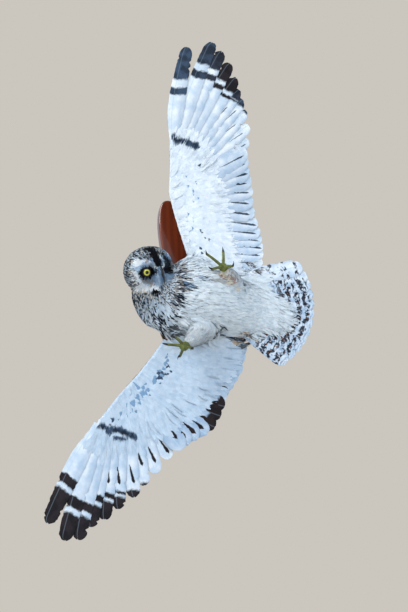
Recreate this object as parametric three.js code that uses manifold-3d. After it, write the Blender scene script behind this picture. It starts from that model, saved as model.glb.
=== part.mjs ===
// A short-eared owl in flight, stuffed and set belly outwards on a varnished wall slab.
//
// Millimetres. The origin is on the slab's back face, which lies on the wall (the
// plane Y = 0). +X runs to the right along the wall, +Y goes into the wall and +Z is
// up. The bird flies towards -X with its belly towards -Y, so its own left wing is
// the upper one. Sizes are those of the plumage, out to the tips of the feathers.

import * as THREE from 'three';
import { LoftGeometry } from 'three/addons/geometries/LoftGeometry.js';
import { mergeVertices } from 'three/addons/utils/BufferGeometryUtils.js';
import Module from 'manifold-3d';

// ---------------------------------------------------------------- driving sizes

const GAP = 0.3; // clearance between two solids that touch

// Leaf-shaped slab behind the bird, its long axis leaning to the left.
const SLAB = { thickness: 24, halfLength: 143, halfWidth: 35, x: -9, z: 4, leanDeg: 14, edge: 3 };

// Trunk stations from the breast to the undertail coverts. x, z: centre on the wall
// plane. y: distance of the centre line from the wall. halfDepth, halfSpan: half sizes
// across the wall and along it.
const TRUNK = [
  { x: -84, z: -92, y: 88, halfDepth: 16, halfSpan: 22 },
  { x: -76, z: -90, y: 84, halfDepth: 29, halfSpan: 44 },
  { x: -58, z: -84, y: 80, halfDepth: 42, halfSpan: 63 },
  { x: -34, z: -76, y: 78, halfDepth: 52, halfSpan: 73 },
  { x: -8, z: -75, y: 77, halfDepth: 55, halfSpan: 73 },
  { x: 24, z: -80, y: 77, halfDepth: 53, halfSpan: 67 },
  { x: 58, z: -88, y: 77, halfDepth: 45, halfSpan: 61 },
  { x: 92, z: -94, y: 76, halfDepth: 33, halfSpan: 55 },
  { x: 124, z: -98, y: 75, halfDepth: 22, halfSpan: 46 },
  { x: 152, z: -102, y: 74, halfDepth: 12, halfSpan: 35 },
  { x: 172, z: -105, y: 74, halfDepth: 4, halfSpan: 20 },
];

// Neck and ruff, from inside the head to inside the breast.
const NECK = [
  { x: -91, z: -44, y: 94, halfDepth: 30, halfSpan: 34 },
  { x: -88, z: -62, y: 89, halfDepth: 37, halfSpan: 43 },
  { x: -80, z: -78, y: 85, halfDepth: 41, halfSpan: 52 },
  { x: -64, z: -86, y: 82, halfDepth: 43, halfSpan: 59 },
  { x: -40, z: -80, y: 80, halfDepth: 42, halfSpan: 60 },
];

// Head: local -Y is the way the face looks and local +Z is the crown.
const HEAD = { x: -92, y: 100, z: -40, yawDeg: 32, pitchDeg: 22, rollDeg: -24 };
const HEAD_RINGS = [
  // out: distance towards the face; radius: size of the ring; drop: ring moved down
  { out: -43, radius: 8, drop: 0 },
  { out: -38, radius: 24, drop: 0 },
  { out: -25, radius: 37, drop: 0 },
  { out: -6, radius: 44, drop: 0 },
  { out: 12, radius: 46, drop: 0 },
  { out: 24, radius: 44, drop: 0.5 },
  { out: 31, radius: 38, drop: 1 },
  { out: 35, radius: 28, drop: 2 },
  { out: 38, radius: 15, drop: 3 },
  { out: 39, radius: 5, drop: 4 },
];
const FACE_RIDGE = 0.12; // how far the two halves of the facial disc fall back
const EYE = { radius: 9.5, side: 21.5, out: 25.5, up: 4 };
const BILL = { rootOut: 33, rise: 7, reach: 46.5, hookDrop: -21, rootWidth: 10, rootHeight: 13 };

// Wings. Each station gives the leading edge, the rear edge of the coverts and the
// thickness there. The surface starts at `height` from the wall and, past `bendAt`
// along the span, leans away from it by `rake` (rise over run).
const WINGS = {
  left: {
    span: [-0.08, 1],
    origin: [0, 0],
    height: 68,
    bendAt: 40,
    rake: 0.36,
    arm: [
      { lead: [-6, -34], rear: [92, -46], thick: 30 },
      { lead: [-18, 14], rear: [80, -2], thick: 28 },
      { lead: [-33, 62], rear: [62, 46], thick: 22 },
      { lead: [-48, 104], rear: [48, 100], thick: 18 },
      { lead: [-55, 126], rear: [38, 136], thick: 16 },
    ],
    hand: [
      { lead: [-55, 126], rear: [38, 136], thick: 16 },
      { lead: [-55, 152], rear: [26, 168], thick: 13 },
      { lead: [-56, 180], rear: [12, 196], thick: 10 },
      { lead: [-57, 206], rear: [-8, 217], thick: 6 },
      { lead: [-57, 222], rear: [-32, 227], thick: 4 },
    ],
    primaryRoots: [[-30, 134], [-48, 204]],
    // from the innermost primary to the outermost
    primaryTips: [
      [101, 238], [100, 264], [93, 290], [85, 309], [76, 326],
      [69, 347], [55, 371], [37, 391], [17, 404], [-31, 389],
    ],
    primaryBow: [0, 0, 0, 0, 1, 2, 3, 4, 5, 5],
    secondaryRoots: [[70, -6], [-24, 132]],
    secondaryTips: [[134, -12], [138, 20], [137, 48], [131, 76], [119, 112], [114, 150], [105, 182], [98, 214]],
  },
  right: {
    span: [-0.62, -0.78],
    origin: [-15, -140],
    height: 61,
    bendAt: 60,
    rake: 0.02,
    arm: [
      { lead: [-40, -100], rear: [88, -132], thick: 30 },
      { lead: [-60, -152], rear: [74, -184], thick: 27 },
      { lead: [-80, -184], rear: [40, -236], thick: 22 },
      { lead: [-106, -219], rear: [-2, -276], thick: 18 },
      { lead: [-126, -243], rear: [-40, -300], thick: 16 },
    ],
    hand: [
      { lead: [-126, -243], rear: [-40, -300], thick: 16 },
      { lead: [-144, -265], rear: [-72, -320], thick: 13 },
      { lead: [-164, -292], rear: [-108, -336], thick: 10 },
      { lead: [-181, -318], rear: [-140, -350], thick: 6 },
      { lead: [-191, -335], rear: [-170, -352], thick: 4 },
    ],
    primaryRoots: [[-108, -258], [-172, -314]],
    primaryTips: [
      [-46, -372], [-68, -397], [-90, -418], [-108, -438], [-134, -457],
      [-157, -474], [-179, -486], [-199, -506], [-222, -507], [-250, -480],
    ],
    primaryBow: [0, 0, 0, 0, -1, -1, -2, -2, -2, -2],
    secondaryRoots: [[66, -172], [-104, -252]],
    secondaryTips: [
      [100, -164], [92, -204], [76, -232], [60, -258], [52, -284],
      [32, -320], [2, -338], [-24, -356],
    ],
  },
};
const PRIMARY = { rootWidth: 13, width: 32, tipWidth: 23, narrowing: 0.55, bends: [0, 0.34, 0.66] };
const SECONDARY = { count: 14, rootWidth: 12, width: 37, tipWidth: 35, narrowing: 0.7, droop: 7, bends: [0, 0.5] };
const VANE = { thickness: 1.2, layer: 0.25, roundness: 0.6, endWidth: 8 };

// Tail fan: twelve feathers spread evenly about an apex inside the rump.
const TAIL = {
  count: 12, apex: [8, -58], axisDeg: -12, halfSpreadDeg: 27.5, rootRadius: 84,
  reach: 229, outerLoss: 15, rootWidth: 14, width: 36, tipWidth: 34, narrowing: 0.8, bends: [0, 0.6],
  height: 74,
};

// Legs from the flank to the sole pad, then toes of [side, up, out] in the foot's frame.
const LEGS = {
  left: {
    path: [[70, -62, 88, 25], [60, -54, 108, 21], [50, -47, 126, 15], [42, -42, 138, 9.5]],
    pad: [38, -40, 143],
    toes: [[-30, 22, 3], [0, 29, 5], [-21, -7, 6], [17, 2, 4]],
    hooks: [[-3, 7], [-2, 8], [-8, 3], [1, 9]],
  },
  right: {
    path: [[18, -138, 86, 25], [2, -154, 104, 21], [-14, -170, 118, 15], [-27, -183, 128, 9.5]],
    pad: [-33, -188, 133],
    toes: [[-29, 1, 4], [-16, 14, 6], [-8, -19, 4], [15, -4, 4]],
    hooks: [[-11, 1], [-10, -1], [-5, -8], [-5, -6]],
  },
};
const TOE = { radius: 3.7, padRadius: 8.5, padDepth: 5 };
const CLAW = { radius: 2.2, arch: 5 };

// ---------------------------------------------------------------- finishes

const finish = (color, roughness, metalness = 0) => new THREE.MeshStandardMaterial({ color, roughness, metalness });
const FINISH = {
  varnish: () => finish(0x5a1d08, 0.2),
  belly: () => finish(0xdfe0dc, 0.9),
  streaked: () => finish(0x77716b, 0.9),
  underwing: () => finish(0xdde2ea, 0.85),
  vane: () => finish(0xc9ced8, 0.75),
  tail: () => finish(0xd2d3d8, 0.75),
  legFeather: () => finish(0xe6dfcf, 0.9),
  iris: () => finish(0xd9cf3a, 0.08),
  horn: () => finish(0x15161a, 0.35),
  skin: () => finish(0x7e8244, 0.6),
};

// ---------------------------------------------------------------- solids

const wasm = await Module();
wasm.setup();

const radians = THREE.MathUtils.degToRad;
const vector = (x, y, z) => new THREE.Vector3(x, y, z);

/** Turn a closed geometry into a solid that can be joined and cut. */
function toSolid(geometry) {
  const bare = new THREE.BufferGeometry().copy(geometry);
  bare.deleteAttribute('normal');
  bare.deleteAttribute('uv');
  const merged = mergeVertices(bare, 1e-4);
  return new wasm.Manifold(new wasm.Mesh({
    numProp: 3,
    vertProperties: new Float32Array(merged.attributes.position.array),
    triVerts: new Uint32Array(merged.index.array),
  }));
}

/** Turn a solid back into a geometry, leaving out any loose sliver that a cut made. */
function toGeometry(solid) {
  const pieces = solid.decompose();
  const main = pieces.reduce((best, piece) => (piece.volume() > best.volume() ? piece : best));
  const { vertProperties, triVerts } = main.getMesh();
  const geometry = new THREE.BufferGeometry();
  geometry.setAttribute('position', new THREE.Float32BufferAttribute(vertProperties, 3));
  geometry.setIndex(new THREE.Uint32BufferAttribute(triVerts, 1));
  geometry.computeVertexNormals();
  return geometry;
}

/** Enclosed volume, which is negative when the faces point inwards. */
function signedVolume(geometry) {
  const { position } = geometry.attributes;
  const index = geometry.index.array;
  const [a, b, c] = [vector(), vector(), vector()];
  let volume = 0;
  for (let i = 0; i < index.length; i += 3) {
    a.fromBufferAttribute(position, index[i]);
    b.fromBufferAttribute(position, index[i + 1]);
    c.fromBufferAttribute(position, index[i + 2]);
    volume += a.dot(b.cross(c)) / 6;
  }
  return volume;
}

/** Skin a row of cross sections, with flat ends and the faces pointing out. */
function loft(sections) {
  const caps = { capStart: true, capEnd: true };
  const geometry = new LoftGeometry(sections, caps);
  if (signedVolume(geometry) > 0) return toSolid(geometry);
  return toSolid(new LoftGeometry(sections.map((ring) => [...ring].reverse()), caps));
}

const unite = (solids) => solids.reduce((whole, piece) => whole.add(piece));
const cutBy = (solid, cutters) => cutters.reduce((rest, cutter) => rest.subtract(cutter), solid);

/** Smooth steps through a list of equal-length number rows. */
function smooth(rows, steps) {
  const value = (t, key) => {
    const place = t * (rows.length - 1);
    const i = Math.min(Math.floor(place), rows.length - 2);
    const f = place - i;
    const p = (k) => rows[THREE.MathUtils.clamp(k, 0, rows.length - 1)][key];
    return 0.5 * (2 * p(i) + (p(i + 1) - p(i - 1)) * f
      + (2 * p(i - 1) - 5 * p(i) + 4 * p(i + 1) - p(i + 2)) * f * f
      + (3 * p(i) - p(i - 1) - 3 * p(i + 1) + p(i + 2)) * f * f * f);
  };
  return Array.from({ length: steps + 1 }, (_, s) => rows[0].map((_unused, key) => value(s / steps, key)));
}

// ---------------------------------------------------------------- trunk and neck

const BODY_SIDES = 20;

/** Ellipse across a body station; `grow` widens it all round. */
function bodyRing([x, z, y, halfDepth, halfSpan], slope, grow) {
  return Array.from({ length: BODY_SIDES }, (_, k) => {
    const angle = (k / BODY_SIDES) * Math.PI * 2;
    const across = Math.cos(angle) * (halfSpan + grow);
    return vector(
      x - across * Math.sin(slope),
      -y + Math.sin(angle) * (halfDepth + grow),
      z + across * Math.cos(slope),
    );
  });
}

/** Loft body stations, each ring turned by half the bend of the centre line. */
function bodySolid(stations, steps, turn, grow = 0) {
  const rows = smooth(stations.map((s) => [s.x, s.z, s.y, s.halfDepth, s.halfSpan]), steps);
  return loft(rows.map((row, i) => bodyRing(row, turn(i / steps), grow)));
}

const trunkTurn = () => radians(-9);
const neckTurn = (t) => radians(THREE.MathUtils.lerp(-58, -12, t));

/** Everything on the room side of the slab's face. */
function roomSide() {
  const box = new THREE.BoxGeometry(2000, 1000, 2000);
  box.translate(0, -500 - SLAB.thickness - GAP, 0);
  return toSolid(box);
}

const trunkSolid = (grow = 0) => bodySolid(TRUNK, 14, trunkTurn, grow).intersect(roomSide());
const neckSolid = (grow = 0) => bodySolid(NECK, 8, neckTurn, grow);

// ---------------------------------------------------------------- slab

/** Leaf-shaped slab with rounded edges, its back on the wall. */
function slabGeometry() {
  const { thickness, halfLength, halfWidth, x, z, leanDeg, edge } = SLAB;
  const sides = 36;
  const outline = Array.from({ length: sides }, (_, k) => {
    const angle = (k / sides) * Math.PI * 2;
    const along = Math.sin(angle);
    const across = Math.sign(Math.cos(angle)) * Math.abs(Math.cos(angle)) ** 0.86;
    return new THREE.Vector2(across * (halfWidth - edge), along * (halfLength - edge));
  });
  const geometry = new THREE.ExtrudeGeometry(new THREE.Shape(outline), {
    depth: thickness - 2 * edge, bevelEnabled: true, bevelSize: edge, bevelThickness: edge, bevelSegments: 1,
  });
  geometry.translate(0, 0, edge);
  geometry.rotateX(Math.PI / 2);
  geometry.rotateY(radians(-leanDeg));
  geometry.translate(x, 0, z);
  return geometry;
}

// ---------------------------------------------------------------- head

const HEAD_SIDES = 20;

/** Head ring around the line of sight; the face falls back on either side of the bill. */
function headRing({ out, radius, drop }, grow) {
  return Array.from({ length: HEAD_SIDES }, (_, k) => {
    const angle = (k / HEAD_SIDES) * Math.PI * 2;
    const side = Math.cos(angle) * (radius + grow);
    const fallBack = out > 0 ? Math.abs(side) * FACE_RIDGE * (out / 39) : 0;
    return vector(side, -(out + Math.sign(out) * grow) + fallBack, Math.sin(angle) * (radius + grow) - drop);
  });
}

const headSolid = (grow = 0) => loft(HEAD_RINGS.map((ring) => headRing(ring, grow)));

/** Glassy eyeball; side is -1 for the bird's right eye and 1 for its left. */
function eyeSolid(side, grow = 0) {
  const ball = new THREE.SphereGeometry(EYE.radius + grow, 12, 8);
  ball.translate(side * EYE.side, -EYE.out, EYE.up);
  return toSolid(ball);
}

/** Short hooked bill that curves down from between the eyes. */
function billSolid(grow = 0) {
  const { rootOut, rise, reach, hookDrop, rootWidth, rootHeight } = BILL;
  const steps = 8;
  const sections = Array.from({ length: steps + 1 }, (_, s) => {
    const t = s / steps;
    const turn = t * radians(105);
    const centre = vector(0, -(rootOut + (reach - rootOut) * Math.sin(turn)), rise + (hookDrop - rise) * t * t);
    const size = (1 - t) ** 0.75;
    const halfWidth = Math.max((rootWidth / 2) * size, 0.5) + grow;
    const halfHeight = Math.max((rootHeight / 2) * size, 0.6) + grow;
    return Array.from({ length: 10 }, (_unused, k) => {
      const angle = (k / 10) * Math.PI * 2;
      const lift = Math.sin(angle) * halfHeight;
      return vector(
        Math.cos(angle) * halfWidth,
        centre.y - lift * Math.sin(turn),
        centre.z + lift * Math.cos(turn),
      );
    });
  });
  return loft(sections);
}

/** The head's place in the frame of the whole. */
function headPlace() {
  const turn = new THREE.Euler(radians(HEAD.pitchDeg), radians(HEAD.rollDeg), radians(HEAD.yawDeg), 'ZXY');
  const matrix = new THREE.Matrix4().makeRotationFromEuler(turn);
  return { turn, matrix: matrix.setPosition(HEAD.x, -HEAD.y, HEAD.z) };
}

// ---------------------------------------------------------------- wings

const BEND_LENGTH = 70; // the wing turns away from the wall over this length

/** Distance of a wing's middle surface from the wall at a point of the wall plane. */
function wingHeight(wing, x, z) {
  const length = Math.hypot(...wing.span);
  const out = ((x - wing.origin[0]) * wing.span[0] + (z - wing.origin[1]) * wing.span[1]) / length - wing.bendAt;
  if (out <= 0) return wing.height;
  const run = out < BEND_LENGTH ? (out * out) / (2 * BEND_LENGTH) : out - BEND_LENGTH / 2;
  return wing.height + wing.rake * run;
}

// Half thickness along the chord, from the leading edge to the rear edge of the coverts.
const AIRFOIL = [[0.05, 0.5], [0.18, 0.9], [0.42, 1], [0.72, 0.62], [1, 0.2]];
const REAR_HALF_THICKNESS = 1.5;

/** One chordwise section of the fleshy part of a wing, with its coverts. */
function wingRing(wing, [leadX, leadZ, rearX, rearZ, thick], shift, grow) {
  const chord = Math.hypot(rearX - leadX, rearZ - leadZ);
  const [dx, dz] = [(rearX - leadX) / chord, (rearZ - leadZ) / chord];
  const at = (u, half) => {
    const along = u * chord + (u === 0 ? -grow : 0) + (u === 1 ? grow : 0);
    const x = leadX + dx * along + shift[0];
    const z = leadZ + dz * along + shift[1];
    return vector(x, -wingHeight(wing, x, z) + half, z);
  };
  const half = (share) => Math.max((thick / 2) * share, REAR_HALF_THICKNESS) + grow;
  const upper = AIRFOIL.map(([u, share]) => at(u, half(share)));
  const lower = AIRFOIL.map(([u, share]) => at(u, -half(share)));
  return [at(0, 0), ...upper, ...lower.reverse()];
}

/** Loft the stations of an arm or a hand; `shift` moves the first and last ring. */
function wingSolid(wing, stations, steps, { start = 0, end = 0, grow = 0 } = {}) {
  const rows = smooth(stations.map((s) => [...s.lead, ...s.rear, s.thick]), steps);
  const length = Math.hypot(...wing.span);
  const nudge = (amount) => wing.span.map((part) => (part / length) * amount);
  return loft(rows.map((row, i) => {
    const shift = i === 0 ? nudge(start) : nudge(i === steps ? end : 0);
    return wingRing(wing, row, shift, grow);
  }));
}

/** Width of a feather at a share of its length: quill, full vane, then a round tip. */
function featherWidth({ rootWidth, width, tipWidth, narrowing }, t, roundFrom) {
  const full = t < narrowing
    ? THREE.MathUtils.lerp(rootWidth, width, THREE.MathUtils.smoothstep(t, 0, 0.4))
    : THREE.MathUtils.lerp(width, tipWidth, (t - narrowing) / (1 - narrowing));
  const intoTip = Math.max(t - roundFrom, 0) / (1 - roundFrom);
  return Math.max(full * Math.sqrt(1 - intoTip * intoTip), VANE.endWidth);
}

/** Flat feather between two points of the wall plane; `height` is its distance from the wall. */
function vane({ root, tip, bow = 0, size, height, droop = 0 }, grow = 0) {
  const [ux, uz] = [tip[0] - root[0], tip[1] - root[1]];
  const length = Math.hypot(ux, uz);
  const [px, pz] = [-uz / length, ux / length];
  const roundFrom = 1 - (VANE.roundness * size.tipWidth) / length;
  const tipSteps = [0, 0.65, 1].map((share) => THREE.MathUtils.lerp(roundFrom, 1, share));
  const sections = [...size.bends, ...tipSteps].map((t) => {
    const sag = bow * 4 * t * (1 - t);
    const cx = root[0] + ux * t + px * sag + (ux / length) * (t === 1 ? grow : 0);
    const cz = root[1] + uz * t + pz * sag + (uz / length) * (t === 1 ? grow : 0);
    const half = featherWidth(size, t, roundFrom) / 2 + grow;
    const corner = (edge, face) => {
      const [x, z] = [cx + px * half * edge, cz + pz * half * edge];
      return vector(x, -height(x, z) - droop * t * t + face * (VANE.thickness / 2 + grow), z);
    };
    return [corner(-1, -1), corner(1, -1), corner(1, 1), corner(-1, 1)];
  });
  return loft(sections);
}

/** The ten long feathers of the hand, each lying over the next one in towards the body. */
function primaryFan(wing, grow = 0) {
  const [inner, outer] = wing.primaryRoots;
  return unite(wing.primaryTips.map((tip, i) => {
    const t = i / (wing.primaryTips.length - 1);
    return vane({
      root: [THREE.MathUtils.lerp(inner[0], outer[0], t), THREE.MathUtils.lerp(inner[1], outer[1], t)],
      tip, bow: wing.primaryBow[i], size: PRIMARY,
      height: (x, z) => wingHeight(wing, x, z) + VANE.layer * i,
    }, grow);
  }));
}

/** The broad feathers of the arm, from the body out to the wrist. */
function secondaryFan(wing, grow = 0) {
  const [inner, outer] = wing.secondaryRoots;
  const tips = smooth(wing.secondaryTips, SECONDARY.count - 1);
  return unite(tips.map((tip, i) => {
    const t = i / (SECONDARY.count - 1);
    return vane({
      root: [THREE.MathUtils.lerp(inner[0], outer[0], t), THREE.MathUtils.lerp(inner[1], outer[1], t)],
      tip, size: SECONDARY, droop: SECONDARY.droop,
      height: (x, z) => wingHeight(wing, x, z) + VANE.layer * (i - SECONDARY.count),
    }, grow);
  }));
}

/** The tail fan, its outer feathers nearer the room. */
function tailFan() {
  const middle = (TAIL.count - 1) / 2;
  return unite(Array.from({ length: TAIL.count }, (_, i) => {
    const share = (i - middle) / middle;
    const angle = radians(TAIL.axisDeg + share * TAIL.halfSpreadDeg);
    const reach = TAIL.reach - TAIL.outerLoss * share * share;
    const at = (radius) => [TAIL.apex[0] + Math.cos(angle) * radius, TAIL.apex[1] + Math.sin(angle) * radius];
    return vane({
      root: at(TAIL.rootRadius), tip: at(reach), size: TAIL,
      height: () => TAIL.height + VANE.layer * Math.abs(i - middle),
    });
  }));
}

// ---------------------------------------------------------------- legs and feet

/** Round tube through points of [x, z, y, radius]. */
function limb(points, sides, grow = 0) {
  const centres = points.map(([x, z, y]) => vector(x, -y, z));
  const sections = points.map(([, , , radius], i) => {
    const before = centres[Math.max(i - 1, 0)];
    const after = centres[Math.min(i + 1, centres.length - 1)];
    const along = after.clone().sub(before).normalize();
    const across = vector(0, 0, 1).cross(along).normalize();
    const up = along.clone().cross(across);
    return Array.from({ length: sides }, (_, k) => {
      const angle = (k / sides) * Math.PI * 2;
      return centres[i].clone()
        .addScaledVector(across, Math.cos(angle) * (radius + grow))
        .addScaledVector(up, Math.sin(angle) * (radius + grow));
    });
  });
  return loft(sections);
}

/** Points of a toe from the pad to its tip, arched towards the room. */
function toePoints(pad, [dx, dz, dy]) {
  return [0, 0.5, 1].map((t) => [
    pad[0] + dx * t, pad[1] + dz * t, pad[2] + dy * Math.sin(t * Math.PI * 0.75), TOE.radius * (1 - 0.25 * t),
  ]);
}

/** Points of a claw that goes on from the toe and hooks round to its tip. */
function clawPoints(pad, toe, [hookX, hookZ]) {
  const end = toePoints(pad, toe).at(-1);
  return [0, 0.3, 0.6, 0.85, 1].map((t) => {
    const bend = Math.sin(t * Math.PI * 0.5);
    return [
      end[0] + hookX * bend, end[1] + hookZ * (1 - Math.cos(t * Math.PI * 0.5)),
      end[2] + CLAW.arch * Math.sin(t * Math.PI * 0.6), Math.max(CLAW.radius * (1 - t), 0.35),
    ];
  });
}

/** Sole pad with its four toes. */
function footSolid({ pad, toes }) {
  const ball = new THREE.SphereGeometry(1, 10, 6);
  ball.scale(TOE.padRadius, TOE.padDepth, TOE.padRadius);
  ball.translate(pad[0], -pad[2], pad[1]);
  return unite([toSolid(ball), ...toes.map((toe) => limb(toePoints(pad, toe), 6))]);
}

// ---------------------------------------------------------------- the owl

const owl = new THREE.Group();

/** Add one named sub-part to a group. */
function addPart(parent, name, geometry, material) {
  const mesh = new THREE.Mesh(geometry, material);
  mesh.name = name;
  parent.add(mesh);
}

addPart(owl, 'wall_slab', slabGeometry(), FINISH.varnish());

const { turn: headTurn, matrix: headMatrix } = headPlace();
const placed = (solid) => solid.transform(headMatrix.elements);
const headGroup = new THREE.Group();
headGroup.position.set(HEAD.x, -HEAD.y, HEAD.z);
headGroup.rotation.copy(headTurn);
owl.add(headGroup);

const eyeCutters = [-1, 1].map((side) => eyeSolid(side, GAP));
addPart(headGroup, 'head', toGeometry(cutBy(headSolid(), [...eyeCutters, billSolid(GAP)])), FINISH.streaked());
addPart(headGroup, 'eye_right', toGeometry(eyeSolid(-1)), FINISH.iris());
addPart(headGroup, 'eye_left', toGeometry(eyeSolid(1)), FINISH.iris());
addPart(headGroup, 'bill', toGeometry(cutBy(billSolid(), eyeCutters)), FINISH.horn());

const trunkCutter = trunkSolid(GAP);
const headCutter = placed(unite([headSolid(GAP), billSolid(GAP), ...eyeCutters]));
const neckCutter = neckSolid(GAP);
addPart(owl, 'trunk', toGeometry(cutBy(trunkSolid(), [headCutter])), FINISH.belly());
addPart(owl, 'neck', toGeometry(cutBy(neckSolid(), [trunkCutter, headCutter])), FINISH.streaked());

const wingCutters = [];
for (const [name, wing] of Object.entries(WINGS)) {
  const bodyCutters = [trunkCutter, neckCutter, headCutter];
  const armCutter = wingSolid(wing, wing.arm, 8, { end: GAP, grow: GAP });
  const handCutter = wingSolid(wing, wing.hand, 8, { grow: GAP });
  const arm = wingSolid(wing, wing.arm, 8);
  const hand = wingSolid(wing, wing.hand, 8, { start: GAP });
  const primaries = cutBy(primaryFan(wing), [armCutter, handCutter]);
  const secondaries = cutBy(secondaryFan(wing), [armCutter, handCutter, primaryFan(wing, GAP), ...bodyCutters]);
  addPart(owl, `wing_${name}_arm`, toGeometry(cutBy(arm, bodyCutters)), FINISH.underwing());
  addPart(owl, `wing_${name}_hand`, toGeometry(hand), FINISH.underwing());
  addPart(owl, `wing_${name}_primaries`, toGeometry(primaries), FINISH.vane());
  addPart(owl, `wing_${name}_secondaries`, toGeometry(secondaries), FINISH.vane());
  wingCutters.push(armCutter, secondaryFan(wing, GAP));
}

addPart(owl, 'tail', toGeometry(cutBy(tailFan(), [trunkCutter, ...wingCutters])), FINISH.tail());

for (const [name, leg] of Object.entries(LEGS)) {
  const claws = leg.toes.map((toe, i) => limb(clawPoints(leg.pad, toe, leg.hooks[i]), 6));
  const clawCutters = leg.toes.map((toe, i) => limb(clawPoints(leg.pad, toe, leg.hooks[i]), 6, GAP));
  const legCutter = limb(leg.path, 14, GAP);
  addPart(owl, `leg_${name}`, toGeometry(cutBy(limb(leg.path, 14), [trunkCutter, ...wingCutters])), FINISH.legFeather());
  addPart(owl, `foot_${name}`, toGeometry(cutBy(footSolid(leg), [legCutter, ...clawCutters])), FINISH.skin());
  claws.forEach((claw, i) => addPart(owl, `claw_${name}_${i + 1}`, toGeometry(claw), FINISH.horn()));
}

export default owl;
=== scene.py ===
"""A short-eared owl in flight, stuffed and set belly outwards on a varnished wall slab.

Metres in Blender, millimetres in the named sizes. The wall is the plane Y = 0, the
bird flies towards -X with its belly towards -Y, and its own left wing is the upper
one. One skin lies inside the plumage; every feather over it is a mesh vane.
"""

from __future__ import annotations

import logging
import math
from dataclasses import dataclass, field
from enum import Enum
from typing import Callable, Sequence

import bmesh
import bpy
import numpy as np
from mathutils import Matrix, Vector
from mathutils.bvhtree import BVHTree
from mathutils.kdtree import KDTree

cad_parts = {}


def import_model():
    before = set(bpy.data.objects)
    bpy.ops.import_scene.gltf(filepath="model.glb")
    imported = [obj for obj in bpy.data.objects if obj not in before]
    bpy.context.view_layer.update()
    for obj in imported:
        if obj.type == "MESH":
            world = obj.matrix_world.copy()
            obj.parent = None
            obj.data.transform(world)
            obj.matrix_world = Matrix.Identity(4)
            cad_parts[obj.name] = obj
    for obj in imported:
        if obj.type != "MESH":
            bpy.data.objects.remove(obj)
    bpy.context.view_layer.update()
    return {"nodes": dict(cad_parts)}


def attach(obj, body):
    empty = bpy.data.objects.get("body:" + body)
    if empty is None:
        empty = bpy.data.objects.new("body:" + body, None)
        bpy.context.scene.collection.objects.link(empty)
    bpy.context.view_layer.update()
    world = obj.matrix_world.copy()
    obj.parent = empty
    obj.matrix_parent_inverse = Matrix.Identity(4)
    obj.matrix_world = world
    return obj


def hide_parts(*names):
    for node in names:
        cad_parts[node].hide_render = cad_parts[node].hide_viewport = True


LOG = logging.getLogger("owl")
MM = 0.001
BODY = "root"
Pair = tuple[float, float]
Triple = tuple[float, float, float]
Array = np.ndarray
Chance = np.random.Generator
Colour = Triple
Value = "Term | float"
Material = bpy.types.Material
Mesh = bpy.types.Mesh
Piece = bpy.types.Object
Worked = bmesh.types.BMesh


# ---- small helpers


def linear(hex_code: str) -> Colour:
    """Turn a six-digit colour code into linear light."""
    parts = [int(hex_code[i : i + 2], 16) / 255 for i in (0, 2, 4)]
    return tuple(p / 12.92 if p <= 0.04045 else ((p + 0.055) / 1.055) ** 2.4 for p in parts)


def smoothstep(value: Array, low: float, high: float) -> Array:
    """Smooth 0 to 1 ramp between two values, which may be in falling order."""
    t = np.clip((value - low) / (high - low), 0, 1)
    return t * t * (3 - 2 * t)


def unit(vectors: Array) -> Array:
    """Scale each row to length one."""
    return vectors / np.maximum(np.linalg.norm(vectors, axis=-1, keepdims=True), 1e-9)


def along_surface(direction: Array, normal: Array) -> Array:
    """Take out of each direction its part along the normal, and scale it to one."""
    flat = direction - normal * np.sum(direction * normal, axis=1, keepdims=True)
    return unit(flat)


def blend_rows(first: Array, second: Array | Colour, share: Array) -> Array:
    """Mix rows with other rows, or with one row for all, by a share for each."""
    return first + (np.asarray(second) - first) * share[:, None]


def columns(*values: Array | float) -> Array:
    """Rows from columns, of which some may be one number for all."""
    return np.stack(np.broadcast_arrays(*values), axis=-1)


def layered(base: Colour, *layers: tuple[Array | Colour, Array]) -> Array:
    """Lay colours over one another.

    Args:
        base: the lowest colour, the same for all.
        layers: further colours, each with its share at every place.

    Returns:
        The colour of each place.
    """
    rows = np.tile(base, (len(layers[0][1]), 1))
    for colour, share in layers:
        rows = blend_rows(rows, colour, share)
    return rows


def read_rows(source: bpy.types.bpy_prop_collection, key: str, width: int, kind: type = float) -> Array:
    """Read a property of every item of a collection.

    Args:
        source: the collection.
        key: name of the property.
        width: how many numbers it has.
        kind: type of the numbers.

    Returns:
        A row for each item.
    """
    values = np.zeros(len(source) * width, kind)
    source.foreach_get(key, values)
    return values.reshape(-1, width)


def spline(points: Sequence[Sequence[float]], places: Array) -> Array:
    """Catmull-Rom curve through points, read at places from 0 to 1."""
    rows = np.array(points, float)
    place = np.clip(places, 0, 1) * (len(rows) - 1)
    i = np.minimum(place.astype(int), len(rows) - 2)
    f = (place - i)[:, None]
    a, b, c, d = (rows[np.clip(i + k, 0, len(rows) - 1)] for k in (-1, 0, 1, 2))
    square, cube = 2 * a - 5 * b + 4 * c - d, 3 * b - a - 3 * c + d
    return 0.5 * (2 * b + (c - a) * f + square * f**2 + cube * f**3)


# ---- colours


@dataclass(frozen=True)
class Palette:
    """Colours of the plumage and the mount, in linear light."""

    white: Colour = linear("edf5fb")
    cream: Colour = linear("d6e2e9")
    # Pale blue of the whites, and painted shade on the lower wing and the head.
    pale_blue: Colour = linear("b7d0e6")
    # Blue-grey of marks, and painted shade on the wings, their long feathers and the head.
    shade_blue: Colour = linear("7b9dc0")
    slate: Colour = linear("3c4f66")
    ink: Colour = linear("101116")
    brown_black: Colour = linear("241a17")
    umber: Colour = linear("5a4132")
    rust: Colour = linear("8d5a38")
    buff: Colour = linear("c3a172")
    sand: Colour = linear("d9c5a0")
    # Grey-brown of marks, and painted shade on the legs.
    grey_brown: Colour = linear("8d8379")


INKS = Palette()


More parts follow.
